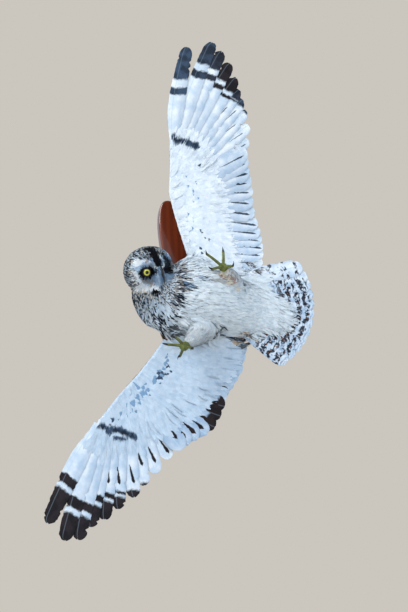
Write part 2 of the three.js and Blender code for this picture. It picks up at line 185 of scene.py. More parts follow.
class Slot(Enum):
    """Material slots of the record that the pieces belong to."""

    WOOD = "slab_wood"
    BODY = "body_plumage"
    STREAKED = "streaked_plumage"
    UNDERWING = "underwing_coverts"
    FLIGHT = "flight_feathers"
    LEG = "leg_plumage"
    EYE = "eye_glass"
    HORN = "horn"
    TOE = "toe_skin"


# ---- shader maths


def math_operator(operation: str, swapped: bool = False) -> Callable[[Term, Value], Term]:
    """Make an operator that adds a Math node.

    Args:
        operation: what the node does.
        swapped: whether the term stands second.

    Returns:
        The operator, for a term and another value.
    """

    def operator(term: Term, other: Value) -> Term:
        """Add the node to the term's graph."""
        pair = (other, term) if swapped else (term, other)
        return term.graph.node("Math", {"operation": operation}, *pair)

    return operator


class Term:
    """A socket's value, with the arithmetic operators adding Math nodes."""

    __add__ = __radd__ = math_operator("ADD")
    __sub__ = math_operator("SUBTRACT")
    __rsub__ = math_operator("SUBTRACT", swapped=True)
    __mul__ = __rmul__ = math_operator("MULTIPLY")
    __truediv__ = math_operator("DIVIDE")
    __pow__ = math_operator("POWER")
    highest = math_operator("MAXIMUM")
    lowest = math_operator("MINIMUM")

    def __init__(self, graph: Graph, socket: bpy.types.NodeSocket) -> None:
        """Keep the graph and the socket that the value comes from."""
        self.graph = graph
        self.socket = socket

    def absolute(self) -> Term:
        """Size without sign."""
        return self.graph.node("Math", {"operation": "ABSOLUTE"}, self)

    def sine(self) -> Term:
        """Sine of the value."""
        return self.graph.node("Math", {"operation": "SINE"}, self)

    def wave(self) -> Term:
        """Sine wave, -1 to 1, that repeats at every whole number."""
        return (self * (2 * math.pi)).sine()

    def ramp(self, low: Value, high: Value) -> Term:
        """Smooth 0 to 1 between two values."""
        return self.graph.node("MapRange", {"interpolation_type": "SMOOTHSTEP"}, self, low, high)

    def below(self, edge: Value, blur: float) -> Term:
        """1 under an edge and 0 over it, with a blurred step."""
        return (self - edge).ramp(blur, -blur)

    def outputs(self) -> list[Term]:
        """All outputs of the node that the value comes from."""
        return [Term(self.graph, socket) for socket in self.socket.node.outputs]


class Graph:
    """Node tree of one material, ending in a Principled shader."""

    def __init__(self, name: str, **fixed: float | Colour) -> None:
        """Start a material.

        Args:
            name: name of the material.
            fixed: values set on the Principled shader's own sockets.
        """
        self.material = bpy.data.materials.new(name)
        self.material.use_nodes = True
        self.nodes = self.material.node_tree.nodes
        self.links = self.material.node_tree.links
        self.shader = self.nodes["Principled BSDF"]
        for key, value in fixed.items():
            socket = self.shader.inputs[key.replace("_", " ")]
            socket.default_value = (*value, 1.0) if isinstance(value, tuple) else value

    def node(
        self,
        kind: str,
        settings: dict[str, object] | None = None,
        *values: Value | Colour | None,
        output: int | str = 0,
        **named: Value | Colour,
    ) -> Term:
        """Add any node.

        Args:
            kind: type name of the node, without its first word ShaderNode.
            settings: properties that are set first.
            values: values or links of its first sockets, None to leave one alone.
            output: which output to return.
            named: values or links of its sockets by name, with _ for a space.

        Returns:
            The chosen output.
        """
        made = self.nodes.new("ShaderNode" + kind)
        for key, value in (settings or {}).items():
            setattr(made, key, value)
        for socket, value in zip(made.inputs, values):
            self._feed(socket, value)
        for key, value in named.items():
            self._feed(made.inputs[key.replace("_", " ")], value)
        return Term(self, made.outputs[output])

    def _feed(self, socket: bpy.types.NodeSocket, value: Value | Colour | None) -> None:
        """Link a term to a socket, or set its number or colour."""
        if isinstance(value, Term):
            self.links.new(value.socket, socket)
        elif isinstance(value, tuple) and socket.type == "RGBA":
            socket.default_value = (*value, 1.0)
        elif value is not None:
            socket.default_value = value

    def mix(self, share: Value, first: Term | Colour, second: Term | Colour, blend: str = "MIX") -> Term:
        """Mix two colours by a share."""
        settings = {"data_type": "RGBA", "blend_type": blend}
        return self.node("Mix", settings, share, *(None,) * 5, first, second, output=2)

    def attribute(self, name: str, output: str = "Color") -> Term:
        """Read a mesh attribute."""
        return self.node("Attribute", {"attribute_name": name}, output=output)

    def channels(self, name: str) -> list[Term]:
        """Read the four numbers kept in one colour attribute."""
        colour = self.attribute(name)
        return self.node("SeparateColor", None, colour).outputs() + colour.outputs()[-1:]

    def vane_place(self) -> list[Term]:
        """Read a piece's own map: along a feather's shaft, and across it."""
        return self.node("SeparateXYZ", None, self.node("UVMap", {"uv_map": "vane"})).outputs()[:2]

    def position(self, scale: Sequence[float] = (1, 1, 1)) -> Term:
        """Object coordinates, stretched by a factor along each axis."""
        place = self.node("TexCoord", output="Object")
        return self.node("VectorMath", {"operation": "MULTIPLY"}, place, tuple(scale))

    def noise(self, scale: float, detail: float = 3, where: Term | None = None) -> Term:
        """Noise from 0 to 1, on the object's coordinates or on others."""
        where = where or self.position()
        return self.node("TexNoise", None, Vector=where, Scale=scale, Detail=detail)

    def bump(self, height: Term, distance: float, strength: float = 1.0) -> None:
        """Raise the surface by a height."""
        made = self.node("Bump", None, Strength=strength, Distance=distance, Height=height)
        self.links.new(made.socket, self.shader.inputs["Normal"])

    def paint(self, colour: Term) -> None:
        """Use a colour as the surface's own."""
        self.links.new(colour.socket, self.shader.inputs["Base Color"])

    def rough(self, value: Term) -> None:
        """Use a value as the roughness."""
        self.links.new(value.socket, self.shader.inputs["Roughness"])


@dataclass(frozen=True)
class CoatFinish:
    """Small body feathers: tint, shaft streak, dark tip, cross bars and pale fringe."""

    name: str
    barb_depth: float = 0.25 * MM

    def build(self) -> Material:
        """Make the material."""
        graph = Graph(self.name, Roughness=0.8, Specular_IOR_Level=0.08)
        along, across = graph.vane_place()
        streak, tip, bars, fringe = graph.channels("marks")
        wobble = graph.noise(260, 2) - 0.5
        off_axis = (across + wobble * 0.25).absolute()
        streak_width = streak * (0.25 + along * 1.1).lowest(1.0)
        streak_mask = off_axis.below(streak_width, 0.07) * streak.ramp(0.02, 0.06)
        tip_mask = (1 - along + wobble * 0.12).below(tip, 0.05) * tip.ramp(0.01, 0.04)
        wave = (along * 3 + wobble * 0.35).wave()
        bar_mask = wave.ramp(0.15, 0.6) * bars
        dark = streak_mask.highest(tip_mask).highest(bar_mask)
        edge = off_axis.ramp(0.5, 0.95).highest(along.ramp(0.8, 1.0)) * fringe
        mottle = graph.noise(90, 4)
        share = mottle.ramp(0.35, 0.75) * 0.4
        base = graph.mix(share, graph.attribute("tint"), (0.55, 0.66, 0.78), "MULTIPLY")
        marked = graph.mix(dark, base, graph.attribute("ink"))
        graph.paint(graph.mix(edge, marked, INKS.sand))
        barbs = (along * 40 + off_axis * 26 + wobble * 3).wave()
        graph.bump(barbs * 0.5 + off_axis.below(0.06, 0.05), self.barb_depth, 0.6)
        return graph.material


@dataclass(frozen=True)
class QuillFinish:
    """Long feathers of wing and tail, pale below and barred brown above."""

    name: str
    barb_depth: float = 0.25 * MM

    def build(self) -> Material:
        """Make the material."""
        graph = Graph(self.name, Roughness=0.65, Specular_IOR_Level=0.12)
        from_tip, side = graph.vane_place()
        tip_dark, gap, bar, streak_start = graph.channels("bands")
        streak_length, streak_half, warmth, tail_bars = graph.channels("streaks")
        dorsal = graph.attribute("dorsal", "Fac")
        cool = graph.noise(55, 3)
        wobble = (graph.noise(210, 3) - 0.5) * (7 * MM)
        place = from_tip + wobble + side.absolute() * 0.25

        def band(start: Value, width: Value) -> Term:
            """Dark band across the vane."""
            return place.below(start + width, 2.2 * MM) * (1 - place.below(start, 2.2 * MM))

        tip_mask = place.below(tip_dark, 3 * MM) * tip_dark.ramp(0.5 * MM, 1.5 * MM)
        bar_mask = band(tip_dark + gap, bar) * bar.ramp(0.5 * MM, 1.5 * MM)
        inwards = (from_tip + wobble * 0.5 - streak_start) / (streak_length + 0.1 * MM)
        comet = (1 - inwards).highest(0.0) ** 0.6 * inwards.ramp(0.0, 0.16)
        drift = 6.0 * MM - inwards * (4 * MM)
        streak_mask = (side - drift + wobble * 0.3).absolute().below(streak_half * comet, 0.8 * MM)
        streak_mask = streak_mask * comet.ramp(0.0, 0.15) * streak_half.ramp(0.2 * MM, 0.5 * MM)
        warp = (graph.noise(60, 3) - 0.5) * (34 * MM)
        cross = ((from_tip + wobble * 0.8 + warp) / (16 * MM) + 0.15).wave()
        patchy = graph.noise(85, 3) - 0.13 + tail_bars * 0.2
        tail_zone = from_tip.ramp(5 * MM, 11 * MM) * (1 - from_tip.ramp(56 * MM, 98 * MM))
        broken = graph.noise(190, 3).ramp(0.37, 0.5)
        patches = (patchy + tail_zone * 0.08).ramp(0.42, 0.53) * tail_bars.ramp(0.0, 0.1)
        tail_mask = broken * cross.ramp(-0.6, -0.05) * tail_zone * patches
        dark = tip_mask.highest(bar_mask).highest(streak_mask).highest(tail_mask)
        pale = graph.mix(cool.ramp(0.3, 0.7) * 0.7, INKS.white, INKS.pale_blue)
        # Painted shade: each vane turns bluer towards its edges, where the feathers overlap.
        pale = graph.mix(side.absolute().ramp(7 * MM, 17 * MM) * 0.4, pale, INKS.shade_blue)
        pale = graph.mix(tail_bars * (0.25 + 0.5 * (1 - cross.absolute())), pale, INKS.shade_blue)
        # Painted shade: a value for each feather darkens its pale face towards shade_blue, most on the lower
        # wing.
        pale = graph.mix(graph.attribute("shade", "Fac") * (0.4 + cool * 0.6), pale, INKS.shade_blue)
        deep = graph.mix(warmth, INKS.slate, INKS.brown_black)
        deep = graph.mix(cool.ramp(0.4, 0.6) * 0.6, deep, INKS.ink)
        ochre = graph.noise(240, 1).ramp(0.6, 0.68) * tail_bars * tail_mask
        below = graph.mix(ochre * 0.7, graph.mix(dark, pale, deep), INKS.rust)
        upper_wave = ((from_tip + wobble) / (38 * MM)).wave()
        upper_dark = upper_wave.ramp(-0.1, 0.35).highest(from_tip.below(22 * MM, 4 * MM))
        upper_pale = graph.mix(cool.ramp(0.3, 0.7), INKS.sand, INKS.buff)
        above = graph.mix(upper_dark, upper_pale, INKS.umber)
        above = graph.mix(graph.noise(320, 2).ramp(0.5, 0.7) * 0.5, above, INKS.brown_black)
        shaft = side.absolute().below(0.75 * MM, 0.25 * MM)
        vane = graph.mix(dorsal, below, above)
        quill = graph.mix(dorsal, INKS.pale_blue, INKS.sand)
        graph.paint(graph.mix(shaft * (1 - dark * 0.8) * 0.6, vane, quill))
        barbs = ((from_tip + side.absolute() * 0.9) / (1.3 * MM)).wave()
        graph.bump(barbs * 0.5 + wobble * 60, self.barb_depth, 0.5)
        return graph.material


@dataclass(frozen=True)
class SkinFinish:
    """Down and skin under the feathers, in the same colours as the coat."""

    name: str

    def build(self) -> Material:
        """Make the material."""
        graph = Graph(self.name, Roughness=0.9, Specular_IOR_Level=0.15)
        speck = graph.noise(300, 4)
        share = speck.ramp(0.35, 0.8) * 0.5
        graph.paint(graph.mix(share, graph.attribute("tint"), (0.5, 0.6, 0.72), "MULTIPLY"))
        graph.bump(speck, 0.6 * MM)
        return graph.material


@dataclass(frozen=True)
class VarnishFinish:
    """Deep red-brown varnished wood with the grain along the slab."""

    name: str
    lean: float

    def build(self) -> Material:
        """Make the material."""
        graph = Graph(self.name, Roughness=0.28, Coat_Weight=1.0, Coat_Roughness=0.06)
        place = graph.node("TexCoord", output="Object")
        turned = graph.node("Mapping", None, Vector=place, Rotation=(0, self.lean, 0), Scale=(26, 9, 2.2))
        wave = graph.node(
            "TexWave", {"bands_direction": "X"}, Vector=turned, Scale=0.9, Distortion=7.0, Detail=3.0
        )
        pores = graph.noise(22, 6, turned)
        wood = graph.mix(wave.ramp(0.2, 0.9) * 0.45, linear("6e2c12"), linear("4a1707"))
        wood = graph.mix(pores.ramp(0.55, 0.75) * 0.5, wood, linear("2c0a03"))
        edge = graph.node("NewGeometry", output="Pointiness").ramp(0.5, 0.58)
        graph.paint(graph.mix(edge * 0.4, wood, linear("9a4318")))
        graph.rough(0.24 + pores * 0.12)
        graph.bump(pores * 0.3 + wave * 0.2, 0.25 * MM, 0.4)
        return graph.material


@dataclass(frozen=True)
class HornFinish:
    """Black horn of bill and claws, streaked with greyer fibres."""

    name: str
    dark: Colour = linear("121317")
    pale: Colour = linear("2a2d33")

    def build(self) -> Material:
        """Make the material."""
        graph = Graph(self.name, Roughness=0.5, Coat_Weight=0.06, Coat_Roughness=0.3)
        fibre = graph.noise(420, 3, graph.position((1, 1, 3)))
        graph.paint(graph.mix(fibre.ramp(0.45, 0.8) * 0.6, self.dark, self.pale))
        graph.rough(0.42 + fibre * 0.2)
        graph.bump(fibre, 0.12 * MM, 0.5)
        return graph.material


@dataclass(frozen=True)
class ToeFinish:
    """Olive-yellow scaly skin of the toes."""

    name: str

    def build(self) -> Material:
        """Make the material."""
        graph = Graph(self.name, Roughness=0.55, Specular_IOR_Level=0.4)
        place = graph.position()
        scales = graph.node("TexVoronoi", {"feature": "DISTANCE_TO_EDGE"}, Vector=place, Scale=620.0)
        crack = scales.ramp(0.12, 0.0)
        patch = graph.noise(110, 4)
        skin = graph.mix(patch.ramp(0.35, 0.7), linear("767f3a"), linear("505a28"))
        skin = graph.mix(patch.ramp(0.6, 0.8) * 0.6, skin, linear("3a3a24"))
        graph.paint(graph.mix(crack * 0.55, skin, linear("2d3018")))
        graph.bump(1 - crack, 0.35 * MM, 0.8)
        return graph.material


@dataclass(frozen=True)
class EyeFinish:
    """Glass eye: black pupil, yellow iris with fine rays, dark rim, wet gloss."""

    name: str

    def build(self) -> Material:
        """Make the material; the map holds how far a place is from the pupil, and round it."""
        graph = Graph(self.name, Roughness=0.12, Coat_Weight=0.3, Coat_Roughness=0.02, Specular_IOR_Level=0.2)
        from_pupil, around = graph.vane_place()
        rays = ((around * 46).sine() * 0.5 + 0.5) * graph.noise(900, 3)
        iris = graph.mix(rays, linear("d2d062"), linear("98963a"))
        iris = graph.mix(from_pupil.ramp(0.54, 0.64), iris, linear("6d6412"))
        pupil = from_pupil.below(0.31, 0.015)
        rim = from_pupil.ramp(0.6, 0.645)
        graph.paint(graph.mix(pupil.highest(rim), iris, linear("060607")))
        return graph.material


# ---- measures of the bird


@dataclass(frozen=True)
class HeadPlace:
    """Where the head sits and how it is turned; the face looks along local -Y."""

    centre: Triple = (-92, -100, -40)
    yaw: float = 32
    pitch: float = 22
    roll: float = -24

    def axes(self) -> Array:
        """Columns are the head's own axes in the world."""
        turns = ((self.yaw, "Z"), (self.pitch, "X"), (self.roll, "Y"))
        whole = Matrix.Identity(3)
        for angle, axis in turns:
            whole = whole @ Matrix.Rotation(math.radians(angle), 3, axis)
        return np.array(whole)

    def matrix(self) -> Matrix:
        """The head's own millimetres to the world's metres."""
        return Matrix.Scale(MM, 4) @ Matrix.Translation(self.centre) @ Matrix(self.axes()).to_4x4()

    def local(self, points: Array) -> Array:
        """World millimetres to the head's own."""
        return (points - np.array(self.centre)) @ self.axes()

    def world(self, points: Array) -> Array:
        """The head's own millimetres to the world's."""
        return np.asarray(points, float) @ self.axes().T + np.array(self.centre)

    def turned(self, directions: Array) -> Array:
        """Directions of the head in the world."""
        return np.asarray(directions, float) @ self.axes().T


HEAD = HeadPlace()
EYE_RADIUS = 9.5
EYE_CENTRES = np.array([(-21.5, -25.5, 4.0), (21.5, -25.5, 4.0)])
EYE_GAZES = unit(np.array([(-0.54, -0.82, 0.17), (0.54, -0.82, 0.17)]))
BILL_ROOT = np.array((0.0, -36.0, 2.0))


@dataclass(frozen=True)
class QuillSize:
    """Widths along a long feather, with the share of its length where it narrows."""

    root: float
    full: float
    tip: float
    narrowing: float
    round_over: float = 0.6
    least: float = 5.0

    def width(self, t: Array, length: float) -> Array:
        """Full width at shares of the length."""
        widening = self.root + (self.full - self.root) * smoothstep(t, 0, 0.4)
        narrowing = self.full + (self.tip - self.full) * (t - self.narrowing) / (1 - self.narrowing)
        round_from = 1 - self.round_over * self.tip / length
        into = np.clip(t - round_from, 0, None) / (1 - round_from)
        full = np.where(t < self.narrowing, widening, narrowing)
        return np.maximum(full * np.sqrt(np.clip(1 - into**2, 0, 1)), self.least)


PRIMARY = QuillSize(13, 32, 23, 0.55)
SECONDARY = QuillSize(12, 37, 35, 0.7)
RECTRIX = QuillSize(12, 36, 34, 0.7)


@dataclass(frozen=True)
class QuillMarks:
    """Lengths in millimetres of the dark marks on the lower face of a long feather."""

    tip_dark: float = 0
    gap: float = 0
    bar: float = 0
    streak_start: float = 10
    streak_length: float = 0
    streak_half: float = 0
    warmth: float = 0.3
    tail_bars: float = 0
    # Share of painted shade on the pale face of the feather.
    shade: float = 0

    def bands(self) -> tuple[float, float, float, float]:
        """Tip, gap, bar and start of the streak, in metres."""
        return self.tip_dark * MM, self.gap * MM, self.bar * MM, self.streak_start * MM

    def streaks(self) -> tuple[float, float, float, float]:
        """Streak length and half width in metres, then warmth and tail bars."""
        return self.streak_length * MM, self.streak_half * MM, self.warmth, self.tail_bars


@dataclass(frozen=True)
class Quill:
    """A long feather between two points of the wall plane, in millimetres."""

    root: Pair
    tip: Pair
    size: QuillSize
    height: Callable[[Array, Array], Array]
    marks: QuillMarks
    bow: float = 0
    layer: float = 0
    droop: float = 0
    shaft: float = 0
    rear: float = 1

    def line(self) -> tuple[Array, Array, float]:
        """Direction along the feather, the one across it, and its length."""
        run = np.array(self.tip, float) - np.array(self.root, float)
        length = float(np.hypot(*run))
        along = run / length
        return along, np.array((-along[1], along[0])), length

    def place(self, t: Array, across: Array, off: Array) -> Array:
        """World millimetres at shares of the length, distances across and off the vane."""
        along, side, length = self.line()
        sag = self.bow * 4 * t * (1 - t)
        plane = np.array(self.root) + np.outer(t * length, along) + np.outer(sag + across, side)
        height = self.height(plane[:, 0], plane[:, 1]) + self.layer + self.droop * t * t + off
        return columns(plane[:, 0], -height, plane[:, 1])


@dataclass(frozen=True)
class Wing:
    """One wing: how its middle surface leaves the wall, and its long feathers."""

    name: str
    span: Pair
    origin: Pair
    height0: float
    bend_at: float
    rake: float
    primary_roots: tuple[Pair, Pair]
    primary_tips: tuple[Pair, ...]
    primary_bow: tuple[float, ...]
    secondary_roots: tuple[Pair, ...]
    secondary_tips: tuple[Pair, ...]
    primary_marks: tuple[QuillMarks, ...]
    secondary_marks: Callable[[int], QuillMarks]
    rear: float = 1
    bend_length: float = 70
    layer: float = 0.25
    count: int = 14

    def height(self, x: Array, z: Array) -> Array:
        """Distance of the wing's middle surface from the wall."""
        span = np.array(self.span) / np.hypot(*self.span)
        out = (x - self.origin[0]) * span[0] + (z - self.origin[1]) * span[1] - self.bend_at
        bending = out**2 / (2 * self.bend_length)
        run = np.where(out < self.bend_length, bending, out - self.bend_length / 2)
        return self.height0 + self.rake * np.where(out > 0, run, 0)

    def quills(self) -> list[Quill]:
        """Ten primaries, then the secondaries from the body outwards."""
        made = []
        inner, outer = np.array(self.primary_roots, float)
        for i, (tip, bow, marks) in enumerate(zip(self.primary_tips, self.primary_bow, self.primary_marks)):
            root = tuple(inner + (outer - inner) * i / 9)
            shaft = -0.18 - 0.3 * (i / 9) ** 2
            layer = self.layer * i
            made.append(Quill(root, tip, PRIMARY, self.height, marks, bow, layer, 0, shaft, self.rear))
        places = np.linspace(0, 1, self.count)
        rows = zip(spline(self.secondary_roots, places), spline(self.secondary_tips, places))
        for i, ends in enumerate(rows):
            root, tip = map(tuple, ends)
            layer = self.layer * (i - self.count)
            marks = self.secondary_marks(i)
            made.append(Quill(root, tip, SECONDARY, self.height, marks, 0, layer, 7, -0.12, self.rear))
        return made


def left_secondary(i: int) -> QuillMarks:
    """Thin dark streak of an upper secondary; the innermost are plainer and grey."""
    rng = np.random.default_rng(40 + i)
    half = 1.1 + 0.9 * rng.random() if i > 1 else 0.7
    # The upper secondaries get some painted shade.
    return QuillMarks(0, 0, 0, 1 + 9 * rng.random(), 46 + 26 * rng.random(), half * 1.3, 0.1, shade=0.3)


def right_secondary(i: int) -> QuillMarks:
    """Longer brown streak of a lower secondary; a few in the middle have dark brown tips."""
    rng = np.random.default_rng(80 + i)
    tip = {7: 18.0, 8: 30.0, 9: 26.0}.get(i, 0.0)
    start, length, half = 2 + 16 * rng.random(), 44 + 28 * rng.random(), 3.4 + 2.6 * rng.random()
    # The lower secondaries get strong painted shade.
    return QuillMarks(tip, 0, 0, start, length, half, 0.95, shade=0.85)


def hand_marks(
    warmth: Sequence[float], gaps: Sequence[float], bars: Sequence[float], streaked: bool
) -> tuple[QuillMarks, ...]:
    """Marks of primaries one to ten, with dark tips that grow longer outwards."""
    tips = (0, 0, 6, 14, 22, 32, 38, 40, 46, 62)
    made = []
    for i, (tip, gap, bar) in enumerate(zip(tips, gaps, bars)):
        half = 3.2 if streaked and i < 6 else (1.0 if i < 5 else 0)
        start = 8 + 9 * (i % 3) + tip
        # Lower primaries get some painted shade; upper primaries get none.
        made.append(QuillMarks(tip, gap, bar, start, 34, half, warmth[i], shade=0.3 * streaked))
    return tuple(made)


UPPER_WING = Wing(
    name="left",
    span=(-0.08, 1),
    origin=(0, 0),
    height0=68,
    bend_at=40,
    rake=0.36,
    primary_roots=((-30, 134), (-48, 204)),
    primary_tips=(
        (101, 238), (100, 264), (93, 290), (85, 309), (76, 326),
        (69, 347), (55, 371), (37, 391), (17, 404), (-31, 389),
    ),
    primary_bow=(0, 0, 0, 0, 1, 2, 3, 4, 5, 5),
    secondary_roots=((70, -6), (52, 20), (33, 48), (14, 76), (-8, 110), (-20, 127), (-23, 131), (-24, 134)),
    secondary_tips=(
        (134, -12), (138, 20), (137, 48), (131, 76), (119, 112), (114, 150), (105, 182), (98, 214)
    ),
    primary_marks=hand_marks(
        (0.1, 0.1, 0.1, 0.3, 0.6, 0.9, 0.9, 0.6, 0.3, 0.0),
        (0, 0, 0, 0, 0, 7, 8, 10, 13, 15),
        (0, 0, 0, 0, 4, 7, 10, 12, 15, 13),
        False,
    ),
    secondary_marks=left_secondary,
    rear=-1,
)
LOWER_WING = Wing(
    name="right",
    span=(-0.62, -0.78),
    origin=(-15, -140),
    height0=61,
    bend_at=60,
    rake=0.02,
    primary_roots=((-108, -258), (-172, -314)),
    primary_tips=(
        (-46, -372), (-68, -397), (-90, -418), (-108, -438), (-134, -457),
        (-157, -474), (-179, -486), (-199, -506), (-222, -507), (-250, -480),
    ),
    primary_bow=(0, 0, 0, 0, -1, -1, -2, -2, -2, -2),
    secondary_roots=(
        (66, -172), (10, -198), (-25, -215), (-52, -228), (-74, -238), (-90, -246), (-99, -250), (-104, -252)
    ),
    secondary_tips=(
        (100, -164), (92, -204), (76, -232), (60, -258), (52, -284), (32, -320), (2, -338), (-24, -356)
    ),
    primary_marks=hand_marks(
        (0.9,) * 10,
        (0, 0, 0, 0, 4, 5, 6, 8, 9, 8),
        (0, 0, 0, 0, 5, 9, 12, 15, 18, 16),
        True,
    ),
    secondary_marks=right_secondary,
    rear=1,
)
WINGS = (UPPER_WING, LOWER_WING)


@dataclass(frozen=True)
class TailFan:
    """Twelve tail feathers spread from one point."""

    count: int = 12
    apex: Pair = (8, -58)
    axis: float = -12
    half_spread: float = 27.5
    root_radius: float = 84
    reach: float = 229
    outer_loss: float = 15
    height0: float = 74
    layer: float = 0.25

    def quills(self) -> list[Quill]:
        """The feathers from one outer edge to the other."""
        middle = (self.count - 1) / 2
        made = []
        for i in range(self.count):
            share = (i - middle) / middle
            angle = math.radians(self.axis + share * self.half_spread)
            ray = np.array((math.cos(angle), math.sin(angle)))
            root = tuple(np.array(self.apex) + ray * self.root_radius)
            tip = tuple(np.array(self.apex) + ray * (self.reach - self.outer_loss * share**2))
            marks = QuillMarks(warmth=0.7, tail_bars=1 - 0.75 * max(share, 0) ** 2)
            layer = self.layer * abs(i - middle)
            side = -1.0 if share > 0 else 1.0
            made.append(Quill(root, tip, RECTRIX, self.level, marks, 0, layer, 0, -0.1 * abs(share), side))
        return made

    def level(self, x: Array, z: Array) -> Array:
        """Distance of the fan from the wall, the same all over."""
        return np.full(np.shape(x), self.height0)


TAIL = TailFan()


@dataclass(frozen=True)
class Leg:
    """Feathered leg as [x, z, height, radius], then the pad, toes and claw hooks."""

    name: str
    path: tuple[tuple[float, float, float, float], ...]
    pad: Triple
    toes: tuple[Triple, ...]
    hooks: tuple[Pair, ...]


LEGS = (
    Leg(
        "left",
        ((70, -62, 88, 25), (60, -54, 108, 21), (50, -47, 126, 15), (42, -42, 138, 9.5)),
        (38, -40, 143),
        ((-30, 22, 3), (0, 29, 5), (-21, -7, 6), (17, 2, 4)),
        ((-3, 7), (-2, 8), (-8, 3), (1, 9)),
    ),
    Leg(
        "right",
        ((18, -138, 86, 25), (2, -154, 104, 21), (-14, -170, 118, 15), (-27, -183, 128, 9.5)),
        (-33, -188, 133),
        ((-29, 1, 4), (-16, 14, 6), (-8, -19, 4), (15, -4, 4)),
        ((-11, 1), (-10, -1), (-5, -8), (-5, -6)),
    ),
)


# ---- where things are on the skin


WING_PARTS = ("wing_left_arm", "wing_left_hand", "wing_right_arm", "wing_right_hand")
REGIONS = ("head", "neck", "trunk", *WING_PARTS, "leg_left", "leg_right")


@dataclass
class Spots:
    """Places on the skin, in millimetres, with how much each belongs to every region."""

    points: Array
    normals: Array
    weights: Array
    wall: Array | None = None

    def some(self, chosen: Array) -> Spots:
        """A part of the places."""
        wall = None if self.wall is None else self.wall[chosen]
        return Spots(self.points[chosen], self.normals[chosen], self.weights[chosen], wall)

    def share(self, *starts: str) -> Array:
        """Summed weight of the regions whose names begin so."""
        chosen = [k for k, name in enumerate(REGIONS) if name.startswith(starts)]
        return self.weights[:, chosen].sum(axis=1)

    def facing_wall(self) -> Array:
        """0 on the side that faces the room, 1 on the side that faces the wall."""
        return smoothstep(self.normals[:, 1], 0.15, 0.55) if self.wall is None else self.wall

    def wallwards(self) -> Array:
        """Straight towards the wall, or away from it on the side that faces the room."""
        side = np.sign(self.facing_wall() - 0.5)
        return columns(0, side, 0)

    def eye_angle(self) -> tuple[Array, Array]:
        """Distance from the nearer eye's line of sight, and which eye that is."""
        local = HEAD.local(self.points)
        from_eye = local[:, None, :] - EYE_CENTRES[None]
        ahead = np.sum(from_eye * EYE_GAZES[None], axis=2)
        away = np.linalg.norm(from_eye - ahead[..., None] * EYE_GAZES[None], axis=2)
        away = np.where(ahead > -3, away, 99)
        return away.min(axis=1), away.argmin(axis=1)

    def face(self) -> Array:
        """Share of the facial disc."""
        local = HEAD.local(self.points)
        front = smoothstep(-local[:, 1], 8, 20)
        inside = smoothstep(np.hypot(local[:, 0], local[:, 2] * 0.95), 43, 36)
        return self.share("head", "neck") * front * inside


def flow_of_coat(spots: Spots) -> Array:
    """Direction in which the plumage runs at each place, before it bends round the skin.

    Args:
        spots: the places.

    Returns:
        Unit directions.
    """
    points, count = spots.points, len(spots.points)
    local = HEAD.local(points)
    away, which = spots.eye_angle()
    from_bill = unit(local - BILL_ROOT)
    from_eye = unit(local - (EYE_CENTRES + EYE_GAZES * 8)[which])
    near_eye = np.exp(-((away / 17) ** 2)) * spots.face()
    head = HEAD.turned(blend_rows(from_bill, from_eye, near_eye))
    back = np.tile((1.0, 0.0, -0.16), (count, 1))
    from_head = unit(points - np.array(HEAD.centre) - (0, 8, 14))
    neck = unit(blend_rows(from_head, back, smoothstep(points[:, 0], -95, -20)))
    rear = unit(points - np.array((TAIL.apex[0], points[:, 1].mean(), TAIL.apex[1])))
    trunk = blend_rows(neck, back, smoothstep(points[:, 0], -70, -10))
    trunk = unit(blend_rows(trunk, rear * (1, 0.2, 1), smoothstep(points[:, 0], 90, 150)))
    total = head * spots.share("head")[:, None] + neck * spots.share("neck")[:, None]
    total += trunk * spots.share("trunk")[:, None]
    for wing in WINGS:
        roots, runs = [], []
        for quill in wing.quills():
            ends = quill.place(np.array((0.0, 1.0)), np.zeros(2), np.zeros(2))
            roots.append(ends[0] + (ends[1] - ends[0]) * 0.15)
            runs.append(ends[1] - ends[0])
        gap = np.linalg.norm(points[:, None, [0, 2]] - np.array(roots)[None][..., [0, 2]], axis=2)
        pull = 1 / (gap**2 + 15**2) ** 1.5
        flow = unit(pull @ unit(np.array(runs)))
        total += flow * spots.share(f"wing_{wing.name}")[:, None]
    for leg in LEGS:
        start, end = (np.array((x, -y, z)) for x, z, y, _ in (leg.path[0], leg.path[-1]))
        total += unit(end - start) * spots.share(f"leg_{leg.name}")[:, None]
    return unit(total)


# Depth of the coat, then length, width and spacing of its feathers, in millimetres.
RULES = {
    "head": (5.0, 10.5, 3.0, 2.05),
    "neck": (7.0, 19, 4.3, 2.5),
    "trunk": (8.0, 34, 5.6, 2.8),
    "arm": (3.2, 34, 8.6, 3.5),
    "hand": (2.4, 31, 7.6, 3.3),
    "leg": (4.0, 20, 4.4, 2.3),
}
DISC_RULE = (3.4, 7.5, 2.1, 1.5)
EYE_RIM_RULE = (2.0, 4.6, 1.6, 1.15)


def coat_rules(spots: Spots) -> Array:
    """Work out the coat's depth and its feathers' length, width and spacing.

    Args:
        spots: the places.

    Returns:
        The four measures of each place, in millimetres.
    """
    total = np.zeros((len(spots.points), 4))
    for key, rule in RULES.items():
        names = tuple(name for name in REGIONS if name.endswith(key) or name.startswith(key + "_"))
        total += spots.share(*names)[:, None] * rule
    away, _ = spots.eye_angle()
    disc = np.tile(DISC_RULE, (len(total), 1))
    total = blend_rows(total, blend_rows(disc, EYE_RIM_RULE, smoothstep(away, 20, 9)), spots.face())
    wall, trunk = spots.facing_wall(), spots.share("trunk")
    total[:, 1] *= 1 + 0.35 * trunk * (1 - wall) * smoothstep(spots.points[:, 0], 70, 130)
    arm = spots.share("wing_left_arm", "wing_right_arm")
    total[:, 1] *= 1 - 0.35 * arm * smoothstep(np.abs(spots.normals[:, 1]), 0.9, 0.4)
    total[:, 2] *= 1 + 0.5 * spots.share("trunk", "neck") * wall
    return total


# ---- markings


